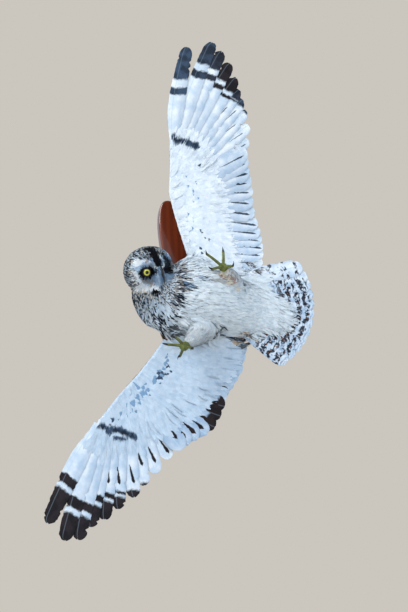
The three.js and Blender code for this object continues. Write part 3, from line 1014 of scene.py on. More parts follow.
@dataclass(frozen=True)
class Stroke:
    """A mark along a line: how wide it is and what it does to the feathers there."""

    path: tuple[Pair, ...]
    reach: float
    tint: Colour | None = None
    strength: float = 1.0
    streak: float = 0.0
    tip: float = 0.0
    share: float = 1.0
    ink: Colour | None = None

    def mask(self, flat: Array, ragged: Array) -> Array:
        """Share of the mark at places of a plane."""
        line = np.array(self.path, float)
        if len(line) == 1:
            line = np.vstack([line, line + 1e-3])
        nearest = np.full(len(flat), 1e9)
        for a, b in zip(line[:-1], line[1:]):
            run = b - a
            t = np.clip((flat - a) @ run / (run @ run), 0, 1)
            nearest = np.minimum(nearest, np.linalg.norm(flat - a - t[:, None] * run, axis=1))
        away = nearest + ragged * self.reach * 0.35
        return smoothstep(away, self.reach * 1.25, self.reach * 0.75) * self.strength


def fleck(
    reach: float,
    tip: float,
    share: float,
    *path: Pair,
    ink: Colour = INKS.slate,
    streak: float = 0.0,
) -> Stroke:
    """Feathers along a line that keep their tint and have tips of another colour.

    Args:
        reach: how far from the line they are.
        tip: length of the coloured tip, as a share of the feather.
        share: how many of them have it.
        path: points of the line.
        ink: colour of the tip.
        streak: width of a mark along the shaft.

    Returns:
        The stroke.
    """
    return Stroke(path, reach, streak=streak, tip=tip, share=share, ink=ink)


FACE_STROKES = (
    Stroke(((-46, 12), (-41, 19), (-33, 23), (-24, 23), (-15, 17), (-8, 10)), 4.6, INKS.white, 0.92),
    Stroke(((-44, 6), (-40, -4), (-38, -14), (-28, -25), (-14, -25)), 6.5, INKS.white, 0.88),
    Stroke(((-36, 12), (-34, 0)), 3.5, INKS.pale_blue, 0.8),
    Stroke(((-10, 4), (-9, -8), (-9, -18)), 4, INKS.pale_blue),
    Stroke(((-30, -9), (-22, -13), (-20, -19)), 3.6, INKS.grey_brown, 0.75),
    Stroke(((-26, 20), (-18, 19)), 3.0, INKS.shade_blue, 0.6),
    Stroke(((-22, 24),), 3.0, INKS.rust, 0.7),
    Stroke(((-6, 42), (-5, 34), (-4, 26), (-1, 18)), 8.5, INKS.ink),
    Stroke(((1, 18), (3, 8)), 3.8, INKS.ink),
    Stroke(((5, 30), (10, 19), (9, 10), (5, 3)), 1.5, INKS.white),
    Stroke(((17, 24), (19, 12), (15, 2)), 6, INKS.ink, 0.95),
    Stroke(((22, 30), (30, 24), (36, 12)), 4, INKS.shade_blue, 0.8),
    Stroke(((30, 32), (40, 20), (44, 6)), 4, INKS.white, 0.8),
    Stroke(((20, -14), (36, -22)), 5, INKS.grey_brown, 0.6),
    Stroke(((-30, -31), (-18, -34)), 4, INKS.sand, 0.7, share=0.5),
)
SIDE_STROKES = (
    Stroke(((-46, 8), (-46, -6), (-41, -20)), 4.4, INKS.ink),
    Stroke(((46, 8), (46, -6), (41, -20)), 4.4, INKS.ink),
)
COLLAR = ((-42, -22), (-30, -38), (-27, -60), (-31, -80), (-40, -100))
BREAST_STROKES = (
    Stroke(((-84, -88), (-76, -91)), 4.2, INKS.ink),
    Stroke(COLLAR, 13, INKS.grey_brown, 0.8, share=0.5),
    Stroke(COLLAR, 13, INKS.slate, 0.8, share=0.25),
    Stroke(COLLAR, 12, INKS.ink, 0.8, share=0.14),
    Stroke(COLLAR, 12, streak=0.5, tip=0.3, share=0.4),
    Stroke(((-48, -103), (-36, -101), (-28, -94)), 5, streak=0.75, tip=0.35, share=0.7),
    Stroke(((-92, -114), (-73, -120), (-58, -124), (-40, -126)), 7, streak=0.6, share=0.4),
    Stroke(((-80, -128), (-64, -134), (-50, -142)), 7, streak=0.65, share=0.4),
    Stroke(((-46, -116), (-33, -119)), 5, streak=0.6, share=0.5),
    Stroke(((-23, -73), (-12, -79)), 3.5, INKS.shade_blue, 0.8, 0.35),
    Stroke(((4, -59), (16, -61)), 3.5, INKS.shade_blue, 0.7, 0.35),
    Stroke(((34, -138), (56, -144), (76, -152)), 3.2, INKS.slate, 0.7, 0.4),
    Stroke(((57, -52), (66, -58)), 5.5, INKS.rust, 0.7, share=0.6),
    Stroke(((44, -44), (54, -62), (70, -68)), 8, INKS.sand, 0.6, share=0.4),
    # Painted shadow: a near-black patch where the neck meets the lower wing.
    Stroke(((-38, -146), (-20, -150)), 5.0, INKS.ink, 0.85),
    Stroke(((26, -60), (42, -64)), 3.5, INKS.grey_brown, 0.5),
)
COMMA_STROKES = (
    Stroke(((-50, 226), (-42, 217), (-32, 222)), 6.0, INKS.slate),
    Stroke(((-19, 218), (-2, 214)), 6.5, INKS.slate),
    Stroke(((-48, 221), (-34, 220)), 4.5, INKS.ink, 0.6, share=0.5),
    Stroke(((-17, 217), (-2, 214)), 4.0, INKS.ink, 0.6, share=0.5),
    Stroke(((-174, -314), (-160, -320), (-150, -330)), 4.8, INKS.slate),
    Stroke(((-148, -324), (-136, -324), (-120, -331), (-108, -337)), 5.8, INKS.slate),
    Stroke(((-142, -338), (-126, -340)), 4.0, INKS.slate),
    Stroke(((-172, -318), (-160, -323)), 4.0, INKS.ink, 0.7, share=0.5),
    Stroke(((-144, -326), (-114, -334)), 4.2, INKS.ink, 0.7, share=0.6),
)
BLUE = INKS.shade_blue
HIND_TUFTS = (((109, -7), (126, -15)), ((84, -150), (112, -160)))
UNDERWING_STROKES = (
    fleck(4, 0.25, 0.7, (-46, 186), (-44, 176)),
    fleck(3.5, 0.3, 0.9, (8, 180), (16, 180)),
    fleck(6, 0.22, 0.6, (-22, 65), (-14, 54)),
    fleck(5, 0.25, 0.7, (17, 58), (27, 41)),
    fleck(6.5, 0.28, 0.7, (4, 24), (8, 19), (10, 10)),
    fleck(5, 0.25, 0.6, (29, 0)),
    fleck(4, 0.25, 0.7, (-30, 123), (-26, 120)),
    fleck(9, 0.24, 0.35, (-34, 40), (-40, 90), (-48, 150), ink=BLUE),
    fleck(14, 0.2, 0.15, (-10, 40), (0, 100), (-10, 150), ink=BLUE),
    fleck(15, 0.32, 0.45, (-55, -205), (-75, -237), (-98, -262), (-128, -290), ink=BLUE),
    fleck(8, 0.32, 0.4, (-45, -214), (-68, -229), (-75, -237)),
    fleck(5, 0.3, 0.7, (-92, -226), (-102, -246), streak=0.3),
    fleck(8, 0.32, 0.9, (-130, -258), (-140, -284), (-152, -294), (-156, -312)),
    Stroke(((-104, -246), (-94, -258)), 3.5, streak=0.6, share=0.7),
    Stroke(((102, 59), (110, 30), (111, 4)), 6, INKS.grey_brown, 0.5, share=0.4),
    Stroke(HIND_TUFTS[0], 10, INKS.umber, 0.8, share=0.5),
    Stroke(HIND_TUFTS[0], 10, INKS.brown_black, 0.9, share=0.7),
    Stroke(HIND_TUFTS[1], 8, INKS.brown_black, 0.85, share=0.5),
    Stroke(HIND_TUFTS[1], 8, INKS.buff, 0.8, share=0.3),
)


@dataclass
class Marks:
    """What each feather looks like."""

    tint: Array
    ink: Array
    marks: Array

    def repeated(self, each: int) -> Marks:
        """The same looks for every point of each feather."""
        return Marks(*(np.repeat(rows, each, axis=0) for rows in (self.tint, self.ink, self.marks)))

    def apply(self, strokes: Sequence[Stroke], flat: Array, ragged: Array, where: Array) -> None:
        """Lay strokes over the feathers, in order; each takes its own share of them by chance.

        Args:
            strokes: the marks.
            flat: place of each feather in the plane of the strokes.
            ragged: a number from -1 to 1 for each, which makes the edges uneven.
            where: share of each that lies in the part of the body meant.
        """
        for k, stroke in enumerate(strokes):
            chosen = np.modf(np.abs(ragged) * (37.3 + 3.7 * k))[0] < stroke.share
            mask = stroke.mask(flat, ragged) * where * chosen
            if stroke.tint is not None:
                self.tint[:] = blend_rows(self.tint, stroke.tint, mask)
                self.marks *= (1 - mask)[:, None]
            if stroke.ink is not None:
                self.ink[:] = blend_rows(self.ink, stroke.ink, mask)
            for column, size in enumerate((stroke.streak, stroke.tip)):
                self.marks[:, column] = np.maximum(self.marks[:, column], size * mask)


def plumage_marks(spots: Spots, rng: Chance) -> Marks:
    """Colours and marks of the feathers at each place.

    Args:
        spots: where each feather shows.
        rng: source of chance.

    Returns:
        Tint, ink and the four mark sizes of each.
    """
    points = spots.points
    chance = rng.random((len(points), 6))
    ragged = chance[:, 5] * 2 - 1
    wall = spots.facing_wall()
    head, neck, trunk = (spots.share(key) for key in ("head", "neck", "trunk"))
    wing, leg, low = (spots.share(key) for key in ("wing", "leg", "wing_right"))
    local = HEAD.local(points)

    tint = layered(
        INKS.white,
        # On the lower wing, the extra pale_blue and shade_blue shares are painted shade; the random pale_blue
        # on both wings is their own tone.
        (INKS.pale_blue, (0.08 + 0.24 * chance[:, 0]) * wing + 0.5 * low),
        (INKS.shade_blue, 0.12 * low),
        # Over the head, pale_blue and shade_blue are partly its own grey and partly painted shade; on the
        # neck they are its own tone.
        (INKS.pale_blue, neck + head * 0.95),
        (INKS.shade_blue, 0.8 * chance[:, 3] ** 2 * neck + 0.75 * head),
        (INKS.cream, (0.75 + 0.25 * chance[:, 1]) * trunk + 0.95 * leg),
        # The grey_brown over the legs is painted shade between their feathers, uneven from feather to
        # feather.
        (INKS.grey_brown, (0.12 + 0.3 * chance[:, 3]) * leg),
    )
    breast = smoothstep(points[:, 0], -5, -45)
    striped = (neck + trunk * breast) * np.where(chance[:, 2] < 0.18, 0.2 + 0.3 * chance[:, 3], 0.0)
    belly = trunk * smoothstep(points[:, 0], 25, -10) * (1 - breast)
    streak = np.maximum(striped, belly * np.where(chance[:, 2] < 0.14, 0.16, 0.0))
    streak *= (streak > 0.09) & (leg < 0.35)

    crown = head * (1 - spots.face() * smoothstep(local[:, 2], 31, 26))
    near = smoothstep(local[:, 0], 30, 14)
    crown_tint = layered(
        INKS.pale_blue,
        (INKS.cream, 0.35 + 0.5 * chance[:, 3]),
        (INKS.sand, (chance[:, 0] < 0.2) * 0.7),
        (INKS.brown_black, (chance[:, 4] < 0.12 + 0.34 * near) * 0.95),
    )
    streak = np.maximum(streak, crown * (0.2 + 0.42 * near) * (0.4 + 0.6 * chance[:, 3]))
    ruff = smoothstep(local[:, 2], -12, -26) * (head + neck) * smoothstep(points[:, 2], -116, -98)
    tip = ruff * np.where(chance[:, 4] < 0.6, 0.4, 0.0)

    mantle = wall * (neck + trunk + wing + 0.85 * head)
    brown = layered(INKS.buff, (INKS.umber, 0.2 + 0.6 * chance[:, 4]))
    for colour, share in ((crown_tint, crown), (INKS.sand, 0.6 * ruff * chance[:, 1]), (brown, mantle)):
        tint = blend_rows(tint, colour, share)
    slate_share = 0.9 * chance[:, 0] * neck + 0.45 * chance[:, 1] * head
    ink = layered(INKS.ink, (INKS.slate, slate_share), (INKS.brown_black, mantle))
    streak = np.where(mantle > 0.5, 0.35 + 0.25 * chance[:, 3], streak)
    bars = mantle * wing * (chance[:, 0] < 0.5) * 0.7

    made = Marks(tint, ink, columns(streak, tip, bars, mantle * 0.8))
    front = (head + neck) * smoothstep(-local[:, 1], 2, 10) * (1 - wall * neck)
    made.apply(FACE_STROKES, local[:, [0, 2]], ragged, front * smoothstep(local[:, 2], -34, -28))
    made.apply(SIDE_STROKES, local[:, [0, 2]], ragged, head * smoothstep(-local[:, 1], -9, -4))
    away, which = spots.eye_angle()
    from_eye = local - EYE_CENTRES[which]
    level = np.abs(from_eye[:, 0]) / np.maximum(np.hypot(from_eye[:, 0], from_eye[:, 2]), 1)
    brim = 12.4 + 3.0 * level**3
    around = smoothstep(away + ragged * 1.0 - brim, 1.3, -0.8) * (head + neck)
    made.tint[:] = blend_rows(made.tint, INKS.ink, around)
    made.marks[:, 0] *= 1 - around
    made.apply(BREAST_STROKES, points[:, [0, 2]], ragged, 1 - wall)
    rear = wing + trunk * smoothstep(points[:, 0], 60, 90)
    made.apply(UNDERWING_STROKES, points[:, [0, 2]], ragged, rear * (1 - wall))
    return made


# ---- meshes


def add_object(name: str, data: bpy.types.ID) -> Piece:
    """Put a mesh, a light or a camera in the scene."""
    made = bpy.data.objects.new(name, data)
    bpy.context.scene.collection.objects.link(made)
    return made


def kept_mesh(name: str, work: Worked) -> Mesh:
    """Keep a worked shape as a mesh."""
    mesh = bpy.data.meshes.new(name)
    work.to_mesh(mesh)
    work.free()
    return mesh


def to_object(name: str, mesh: Mesh, material: Material) -> Piece:
    """Put a mesh in the scene as part of the owl.

    Args:
        name: name of the piece.
        mesh: its geometry, in metres.
        material: its finish.

    Returns:
        The new object.
    """
    piece = add_object(name, mesh)
    mesh.materials.append(material)
    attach(piece, BODY)
    return piece


def mesh_of(name: str, points: Array, faces: Array) -> Mesh:
    """Make a smooth mesh of joined feathers.

    Args:
        name: its name.
        points: its points, in millimetres.
        faces: rows of four corners.

    Returns:
        The mesh, in metres.
    """
    mesh = bpy.data.meshes.new(name)
    mesh.vertices.add(len(points))
    mesh.vertices.foreach_set("co", (points * MM).astype(np.float32).ravel())
    mesh.loops.add(faces.size)
    mesh.loops.foreach_set("vertex_index", faces.astype(np.int32).ravel())
    mesh.polygons.add(len(faces))
    starts = np.arange(0, faces.size, faces.shape[1], dtype=np.int32)
    mesh.polygons.foreach_set("loop_start", starts)
    mesh.update(calc_edges=True)
    mesh.polygons.foreach_set("use_smooth", np.ones(len(faces), bool))
    return mesh


def add_map(mesh: Mesh, name: str, per_point: Array) -> None:
    """Add a UV map from a place for each vertex."""
    corners = read_rows(mesh.loops, "vertex_index", 1, np.int32)[:, 0]
    layer = mesh.uv_layers.new(name=name)
    layer.data.foreach_set("uv", per_point[corners].astype(np.float32).ravel())


def add_colour(mesh: Mesh, name: str, per_point: Array) -> None:
    """Add a colour attribute from three or four numbers for each vertex."""
    layer = mesh.color_attributes.new(name, "FLOAT_COLOR", "POINT")
    full = np.ones((len(per_point), 4), np.float32)
    full[:, : per_point.shape[1]] = per_point
    layer.data.foreach_set("color", full.ravel())


def grid_faces(rows: int, across: int, copies: int = 1) -> Array:
    """Quads of a grid of points, repeated for a number of grids.

    Args:
        rows: points along the grid.
        across: points in each row.
        copies: number of grids, one after another.

    Returns:
        Four corners for each quad.
    """
    i, j = np.meshgrid(np.arange(rows - 1), np.arange(across - 1), indexing="ij")
    first = i * across + j
    one = columns(first, first + across, first + across + 1, first + 1).reshape(-1, 4)
    return (one[None] + (np.arange(copies) * rows * across)[:, None, None]).reshape(-1, 4)


def rod_stations(line: Array, radii: Array, across: Sequence[float]) -> list[Matrix]:
    """Work out the rings of a round rod.

    Args:
        line: points along its middle.
        radii: radius at each.
        across: any direction that the rod never takes.

    Returns:
        Place, turn and size of each ring.
    """
    runs = unit(np.gradient(line, axis=0))
    first = unit(np.cross(runs, np.array(across, float)))
    second = np.cross(runs, first)
    stations = []
    for place, radius, *axes in zip(line, radii, first, second, runs):
        turn = Matrix(axes).transposed().to_4x4()
        stations.append(Matrix.Translation(place) @ turn @ Matrix.Scale(radius, 4))
    return stations


def loft(work: Worked, stations: Sequence[Matrix], sides: int) -> list[list[bmesh.types.BMVert]]:
    """Bridge circles of radius one, each put at its station, into a closed tube.

    Args:
        work: the mesh to add it to.
        stations: place, turn and size of each circle.
        sides: number of corners of a circle.

    Returns:
        The vertices of each circle.
    """
    size = {"segments": sides, "radius": 1}
    rings = [bmesh.ops.create_circle(work, matrix=station, **size)["verts"] for station in stations]
    loops = [list(dict.fromkeys(edge for vertex in ring for edge in vertex.link_edges)) for ring in rings]
    for first, second in zip(loops[:-1], loops[1:]):
        bmesh.ops.bridge_loops(work, edges=first + second)
    bmesh.ops.holes_fill(work, edges=loops[0] + loops[-1])
    return rings


def finished(name: str, work: Worked, place: Matrix) -> Mesh:
    """Put a closed shape in the world and keep it.

    Args:
        name: name of the mesh.
        work: the shape.
        place: from the shape's own place to the world.

    Returns:
        The mesh, with its faces turned outwards and smooth but for its flat caps.
    """
    bmesh.ops.transform(work, matrix=place, verts=work.verts)
    bmesh.ops.recalc_face_normals(work, faces=work.faces)
    for face in work.faces:
        face.smooth = len(face.verts) <= 4
    return kept_mesh(name, work)


# ---- skin


class Near:
    """Finds the nearest point of a set of CAD nodes or of a mesh."""

    def __init__(self, meshes: Sequence[Mesh], places: Sequence[Matrix]) -> None:
        """Collect the triangles of the meshes in the world."""
        points, faces = [], []
        for mesh, place in zip(meshes, places):
            start = len(points)
            points += [place @ vertex.co for vertex in mesh.vertices]
            faces += [[start + k for k in face.vertices] for face in mesh.polygons]
        self.tree = BVHTree.FromPolygons(points, faces)

    def distance(self, points: Array) -> Array:
        """Distance of each point, in millimetres."""
        return np.array([self.tree.find_nearest(Vector(p))[3] for p in points * MM]) / MM

    def surface(self, points: Array) -> tuple[Array, Array]:
        """Nearest place and its outward direction, for each point."""
        found = [self.tree.find_nearest(Vector(p)) for p in points * MM]
        return np.array([f[0] for f in found]) / MM, np.array([f[1] for f in found])

    def covered(self, points: Array, directions: Array, reach: float) -> Array:
        """Whether something lies within a reach of each point, in its direction."""
        pairs = zip(points * MM, directions)
        hits = (self.tree.ray_cast(Vector(p), Vector(d), reach * MM) for p, d in pairs)
        return np.array([hit[0] is not None for hit in hits])

    def thickness(self, points: Array, normals: Array) -> Array:
        """How thick the solid is inwards from each point."""
        starts = (points - normals * 0.05) * MM
        hits = [self.tree.ray_cast(Vector(s), Vector(-n)) for s, n in zip(starts, normals)]
        return np.array([hit[3] if hit[0] is not None else 0.1 for hit in hits]) / MM


@dataclass
class Skin:
    """One closed skin under the whole coat, and the places where feathers grow."""

    nodes: dict[str, Piece]
    fans: list[Piece]
    seed: int = 5
    voxel: float = 2.8 * MM
    thin_share: float = 0.3
    inflate: float = 0.35 * MM
    smoothing: int = 4
    throat: Triple = (-108, -98, -127)
    throat_reach: float = 27
    throat_depth: float = 16.0
    outer: Near = field(init=False)
    mesh: Mesh = field(init=False)
    spots: Spots = field(init=False)
    triangles: Array = field(init=False)
    corners: Array = field(init=False)

    def build(self) -> None:
        """Make the skin, which stands in for the flesh nodes."""
        self.mesh = self._merged_flesh()
        self._slim()
        meshes = [self.mesh.copy()] + [fan.data for fan in self.fans]
        self.outer = Near(meshes, [Matrix.Identity(4)] * len(meshes))
        self._sink()
        material = SkinFinish("down").build()
        skin = to_object("skin", self.mesh, material)
        self._unwrap(skin)
        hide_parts(*REGIONS)

    def _merged_flesh(self) -> Mesh:
        """Join the flesh nodes into one smooth closed mesh."""
        work = bmesh.new()
        for key in (*REGIONS, "eye_right", "eye_left"):
            piece = bmesh.new()
            piece.from_mesh(self.nodes[key].data)
            piece.transform(self.nodes[key].matrix_world)
            bmesh.ops.remove_doubles(piece, verts=piece.verts, dist=0.02 * MM)
            piece.normal_update()
            for vertex in piece.verts:
                vertex.co += vertex.normal * self.inflate
            copy = kept_mesh(f"{key}_copy", piece)
            work.from_mesh(copy)
            bpy.data.meshes.remove(copy)
        holder = add_object("flesh", kept_mesh("skin", work))
        remesh = holder.modifiers.new("merge", "REMESH")
        remesh.mode = "VOXEL"
        remesh.voxel_size = self.voxel
        ready = holder.evaluated_get(bpy.context.evaluated_depsgraph_get())
        work = bmesh.new()
        work.from_mesh(ready.to_mesh())
        bpy.data.objects.remove(holder)
        self._keep_largest(work)
        every_axis = {f"use_axis_{axis}": True for axis in "xyz"}
        for _ in range(self.smoothing):
            bmesh.ops.smooth_vert(work, verts=work.verts, factor=0.5, **every_axis)
        bmesh.ops.triangulate(work, faces=work.faces)
        return kept_mesh("skin", work)

    @staticmethod
    def _keep_largest(work: Worked) -> None:
        """Take out every loose bubble but the main body."""
        unseen, best = set(work.verts), []
        while unseen:
            front = [unseen.pop()]
            whole = list(front)
            while front:
                for edge in front.pop().link_edges:
                    for other in edge.verts:
                        if other in unseen:
                            unseen.remove(other)
                            front.append(other)
                            whole.append(other)
            best = max(best, whole, key=len)
        keep = set(best)
        bmesh.ops.delete(work, geom=[v for v in work.verts if v not in keep], context="VERTS")

    def _read(self) -> tuple[Array, Array]:
        """Points in millimetres and normals of the mesh."""
        points = read_rows(self.mesh.vertices, "co", 3) / MM
        return points, read_rows(self.mesh.vertex_normals, "vector", 3)

    def _move(self, points: Array) -> None:
        """Put the mesh's points somewhere else."""
        self.mesh.vertices.foreach_set("co", (points * MM).ravel())
        self.mesh.update()

    def _slim(self) -> None:
        """Draw in the throat below the head, where the plumage lies tight."""
        points, normals = self._read()
        away = np.linalg.norm(points - np.array(self.throat), axis=1)
        drawn = self.throat_depth * np.exp(-((away / self.throat_reach) ** 2))
        self._move(points - normals * drawn[:, None])

    def _sink(self) -> None:
        """Lower the skin by the coat's depth, and note its regions and colours."""
        points, normals = self._read()
        nodes = [self.nodes[key] for key in REGIONS]
        spans = [Near([node.data], [node.matrix_world]).distance(points) for node in nodes]
        weights = np.exp(-np.stack(spans, 1) / 6)
        weights /= weights.sum(axis=1, keepdims=True)
        outside = Spots(points, normals, weights)
        depth = self._even_depth(outside)
        away, which = outside.eye_angle()
        depth += outside.face() * 1.6 * np.exp(-(((away - 15) / 6) ** 2))
        points = self._with_sockets(points - normals * depth[:, None], away, which)
        self._move(points)
        self.mesh.polygons.foreach_set("use_smooth", np.ones(len(self.mesh.polygons), bool))
        _, normals = self._read()
        self.spots = Spots(points, normals, weights)
        looks = plumage_marks(self.spots, np.random.default_rng(self.seed))
        add_colour(self.mesh, "tint", looks.tint)

    def _even_depth(self, outside: Spots) -> Array:
        """Depth of the coat at each point, less where the body is thin, and without steps.

        Args:
            outside: the points on the outside of the coat.

        Returns:
            The depths.
        """
        count = len(outside.points)
        thickness = self.outer.thickness(outside.points, outside.normals)
        depth = np.minimum(coat_rules(outside)[:, 0], thickness * self.thin_share)
        edges = read_rows(self.mesh.edges, "vertices", 2, np.int32).T
        degree = np.bincount(edges.ravel(), minlength=count)
        for _ in range(12):
            total = sum(np.bincount(at, depth[other], count) for at, other in (edges, edges[::-1]))
            depth = 0.5 * depth + 0.5 * total / np.maximum(degree, 1)
        return depth

    @staticmethod
    def _with_sockets(points: Array, away: Array, which: Array) -> Array:
        """Shape the sockets of the eyes.

        Args:
            points: the skin's points.
            away: distance of each from the nearer eye's line of sight.
            which: number of that eye.

        Returns:
            The points, with those round an eye moved on to its ball.
        """
        local = HEAD.local(points)
        gaze, centre = EYE_GAZES[which], EYE_CENTRES[which]
        ahead = np.sum((local - centre) * gaze, axis=1)
        ball = np.sqrt(np.clip(EYE_RADIUS**2 - np.minimum(away, 7.4) ** 2, 0, None))
        brim = ball - 1.2 * (away < 6.6)
        socket = smoothstep(away, 13.0, 7.2) * (ahead > 0)
        local += gaze * ((brim - ahead) * socket)[:, None]
        return np.where((socket > 0)[:, None], HEAD.world(local), points)

    def _unwrap(self, skin: Piece) -> None:
        """Lay the skin's own shape out flat, for the baked colours."""
        self.mesh.uv_layers.new(name="OFBake")
        bpy.context.view_layer.objects.active = skin
        skin.select_set(True)
        bpy.ops.object.mode_set(mode="EDIT")
        bpy.ops.mesh.select_all(action="SELECT")
        bpy.ops.uv.smart_project(angle_limit=math.radians(72), island_margin=0.004)
        bpy.ops.object.mode_set(mode="OBJECT")
        skin.select_set(False)
        self.triangles = read_rows(self.mesh.polygons, "vertices", 3, np.int32)
        self.corners = read_rows(self.mesh.uv_layers["OFBake"].data, "uv", 2).reshape(-1, 3, 2)

    def scatter(self, rng: Chance, candidates: int = 220000) -> tuple[Spots, Array]:
        """Choose where feathers grow, with even gaps that follow the rules of the coat.

        Args:
            rng: source of chance.
            candidates: how many places are tried.

        Returns:
            The places, and where each is on the unwrapped skin.
        """
        corners = self.spots.points[self.triangles]
        area = np.linalg.norm(np.cross(corners[:, 1] - corners[:, 0], corners[:, 2] - corners[:, 0]), axis=1)
        spacing = coat_rules(self.spots)[:, 3][self.triangles].mean(axis=1)
        odds = area / spacing**2
        chosen = rng.choice(len(area), candidates, p=odds / odds.sum())
        r, s = np.sqrt(rng.random(candidates)), rng.random(candidates)
        share = columns(1 - r, r * (1 - s), r * s)
        at = self.triangles[chosen]

        def read(values: Array) -> Array:
            """Value at each place from the corners of its triangle."""
            return np.sum(values[at] * share[..., None], axis=1)

        spots = Spots(read(self.spots.points), unit(read(self.spots.normals)), read(self.spots.weights))
        gaps = coat_rules(spots)[:, 3]
        tree = KDTree(candidates)
        for k, point in enumerate(spots.points):
            tree.insert(point, k)
        tree.balance()
        free = np.ones(candidates, bool)
        kept = []
        for k in range(candidates):
            if free[k]:
                kept.append(k)
                for _, other, _ in tree.find_range(spots.points[k], gaps[k]):
                    free[other] = False
        kept = np.array(kept)
        flat = np.sum(self.corners[chosen] * share[..., None], axis=1)[kept]
        return Spots(spots.points[kept], spots.normals[kept], spots.weights[kept]), flat


# ---- coat of feathers


@dataclass(frozen=True)
class VaneShape:
    """Grid of a small feather: half width at rows along it, and places across."""

    rows: tuple[float, ...] = (0, 0.18, 0.38, 0.56, 0.7, 0.81, 0.9, 0.96, 1.0)
    half: tuple[float, ...] = (0.2, 0.7, 0.95, 1.0, 0.95, 0.84, 0.66, 0.44, 0.14)
    across: tuple[float, ...] = (-1, -0.6, 0, 0.6, 1)
    fray: float = 0.022
    camber: float = 0.1

    def grid(self) -> tuple[Array, Array, Array]:
        """Share along, share across and half width at every point."""
        u, v = np.meshgrid(self.rows, self.across, indexing="ij")
        return tuple(grid.ravel()[None] for grid in (u, v, np.interp(u, self.rows, self.half)))


BODY_VANE = VaneShape(fray=0.014)
FACE_VANE = VaneShape((0, 0.25, 0.5, 0.72, 0.9, 1.0), (0.3, 0.75, 1.0, 0.85, 0.5, 0.12), (-1, 0, 1), 0.03)
PLUME_VANE = VaneShape(
    (0, 0.14, 0.3, 0.46, 0.6, 0.72, 0.83, 0.92, 1.0),
    (0.2, 0.65, 0.95, 1.0, 0.88, 0.7, 0.5, 0.3, 0.06),
    fray=0.024,
)
COVERT_VANE = VaneShape(half=(0.25, 0.75, 0.98, 1.0, 0.93, 0.8, 0.6, 0.38, 0.08), fray=0.016, camber=0.06)


@dataclass(frozen=True)
class Tract:
    """A piece of the coat, and whether it is on the side of the wall, if it is on one side only."""

    name: str
    slot: Slot
    vane: VaneShape
    wall: float | None = None


TRACTS = (
    Tract("face", Slot.STREAKED, FACE_VANE),
    Tract("head", Slot.STREAKED, BODY_VANE),
    Tract("neck", Slot.STREAKED, BODY_VANE),
    Tract("leg_left", Slot.LEG, PLUME_VANE),
    Tract("leg_right", Slot.LEG, PLUME_VANE),
    Tract("wing_left_below", Slot.UNDERWING, COVERT_VANE, 0.0),
    Tract("wing_left_above", Slot.UNDERWING, BODY_VANE, 1.0),
    Tract("wing_right_below", Slot.UNDERWING, COVERT_VANE, 0.0),
    Tract("wing_right_above", Slot.UNDERWING, BODY_VANE, 1.0),
    Tract("belly", Slot.BODY, PLUME_VANE, 0.0),
    Tract("back", Slot.BODY, BODY_VANE, 1.0),
)


@dataclass(frozen=True)
class Patch:
    """Feathers set on one place: depth, length, width and spacing, and how far they follow the coat."""

    name: str
    count: int
    size: tuple[float, float, float, float]
    snap: float = 1.0
    slot: Slot = Slot.BODY
    region: str = "trunk"


BRISTLES = Patch("bristles", 800, (2.5, 14.0, 1.15, 1.0), 0.35, Slot.STREAKED, "head")
LORES = Patch("lores", 760, (2.5, 11.5, 1.5, 1.0), 0.3, Slot.STREAKED, "head")
TUFTS = Patch("tufts", 200, (2.5, 16.0, 2.4, 2.0), 0.8)
TAIL_COVERTS = (
    (Patch("tail_below", 340, (1.0, 34.0, 9.5, 4.0)), -1.0, -2.6),
    (Patch("tail_above", 340, (1.0, 34.0, 9.5, 4.0)), 1.0, 1.2),
)


@dataclass
class Plumes:
    """Feathers of one piece: places, sizes, and the curve of each shaft."""

    spots: Spots
    flat: Array
    chance: Array
    calm: Array
    lie: Array
    length: Array
    width: Array
    flank: Array
    away: Array
    control: Array
    tip: Array
    tip_normal: Array

    def some(self, chosen: Array) -> Plumes:
        """A part of the feathers."""
        spots, *rows = vars(self).values()
        return Plumes(spots.some(chosen), *(values[chosen] for values in rows))


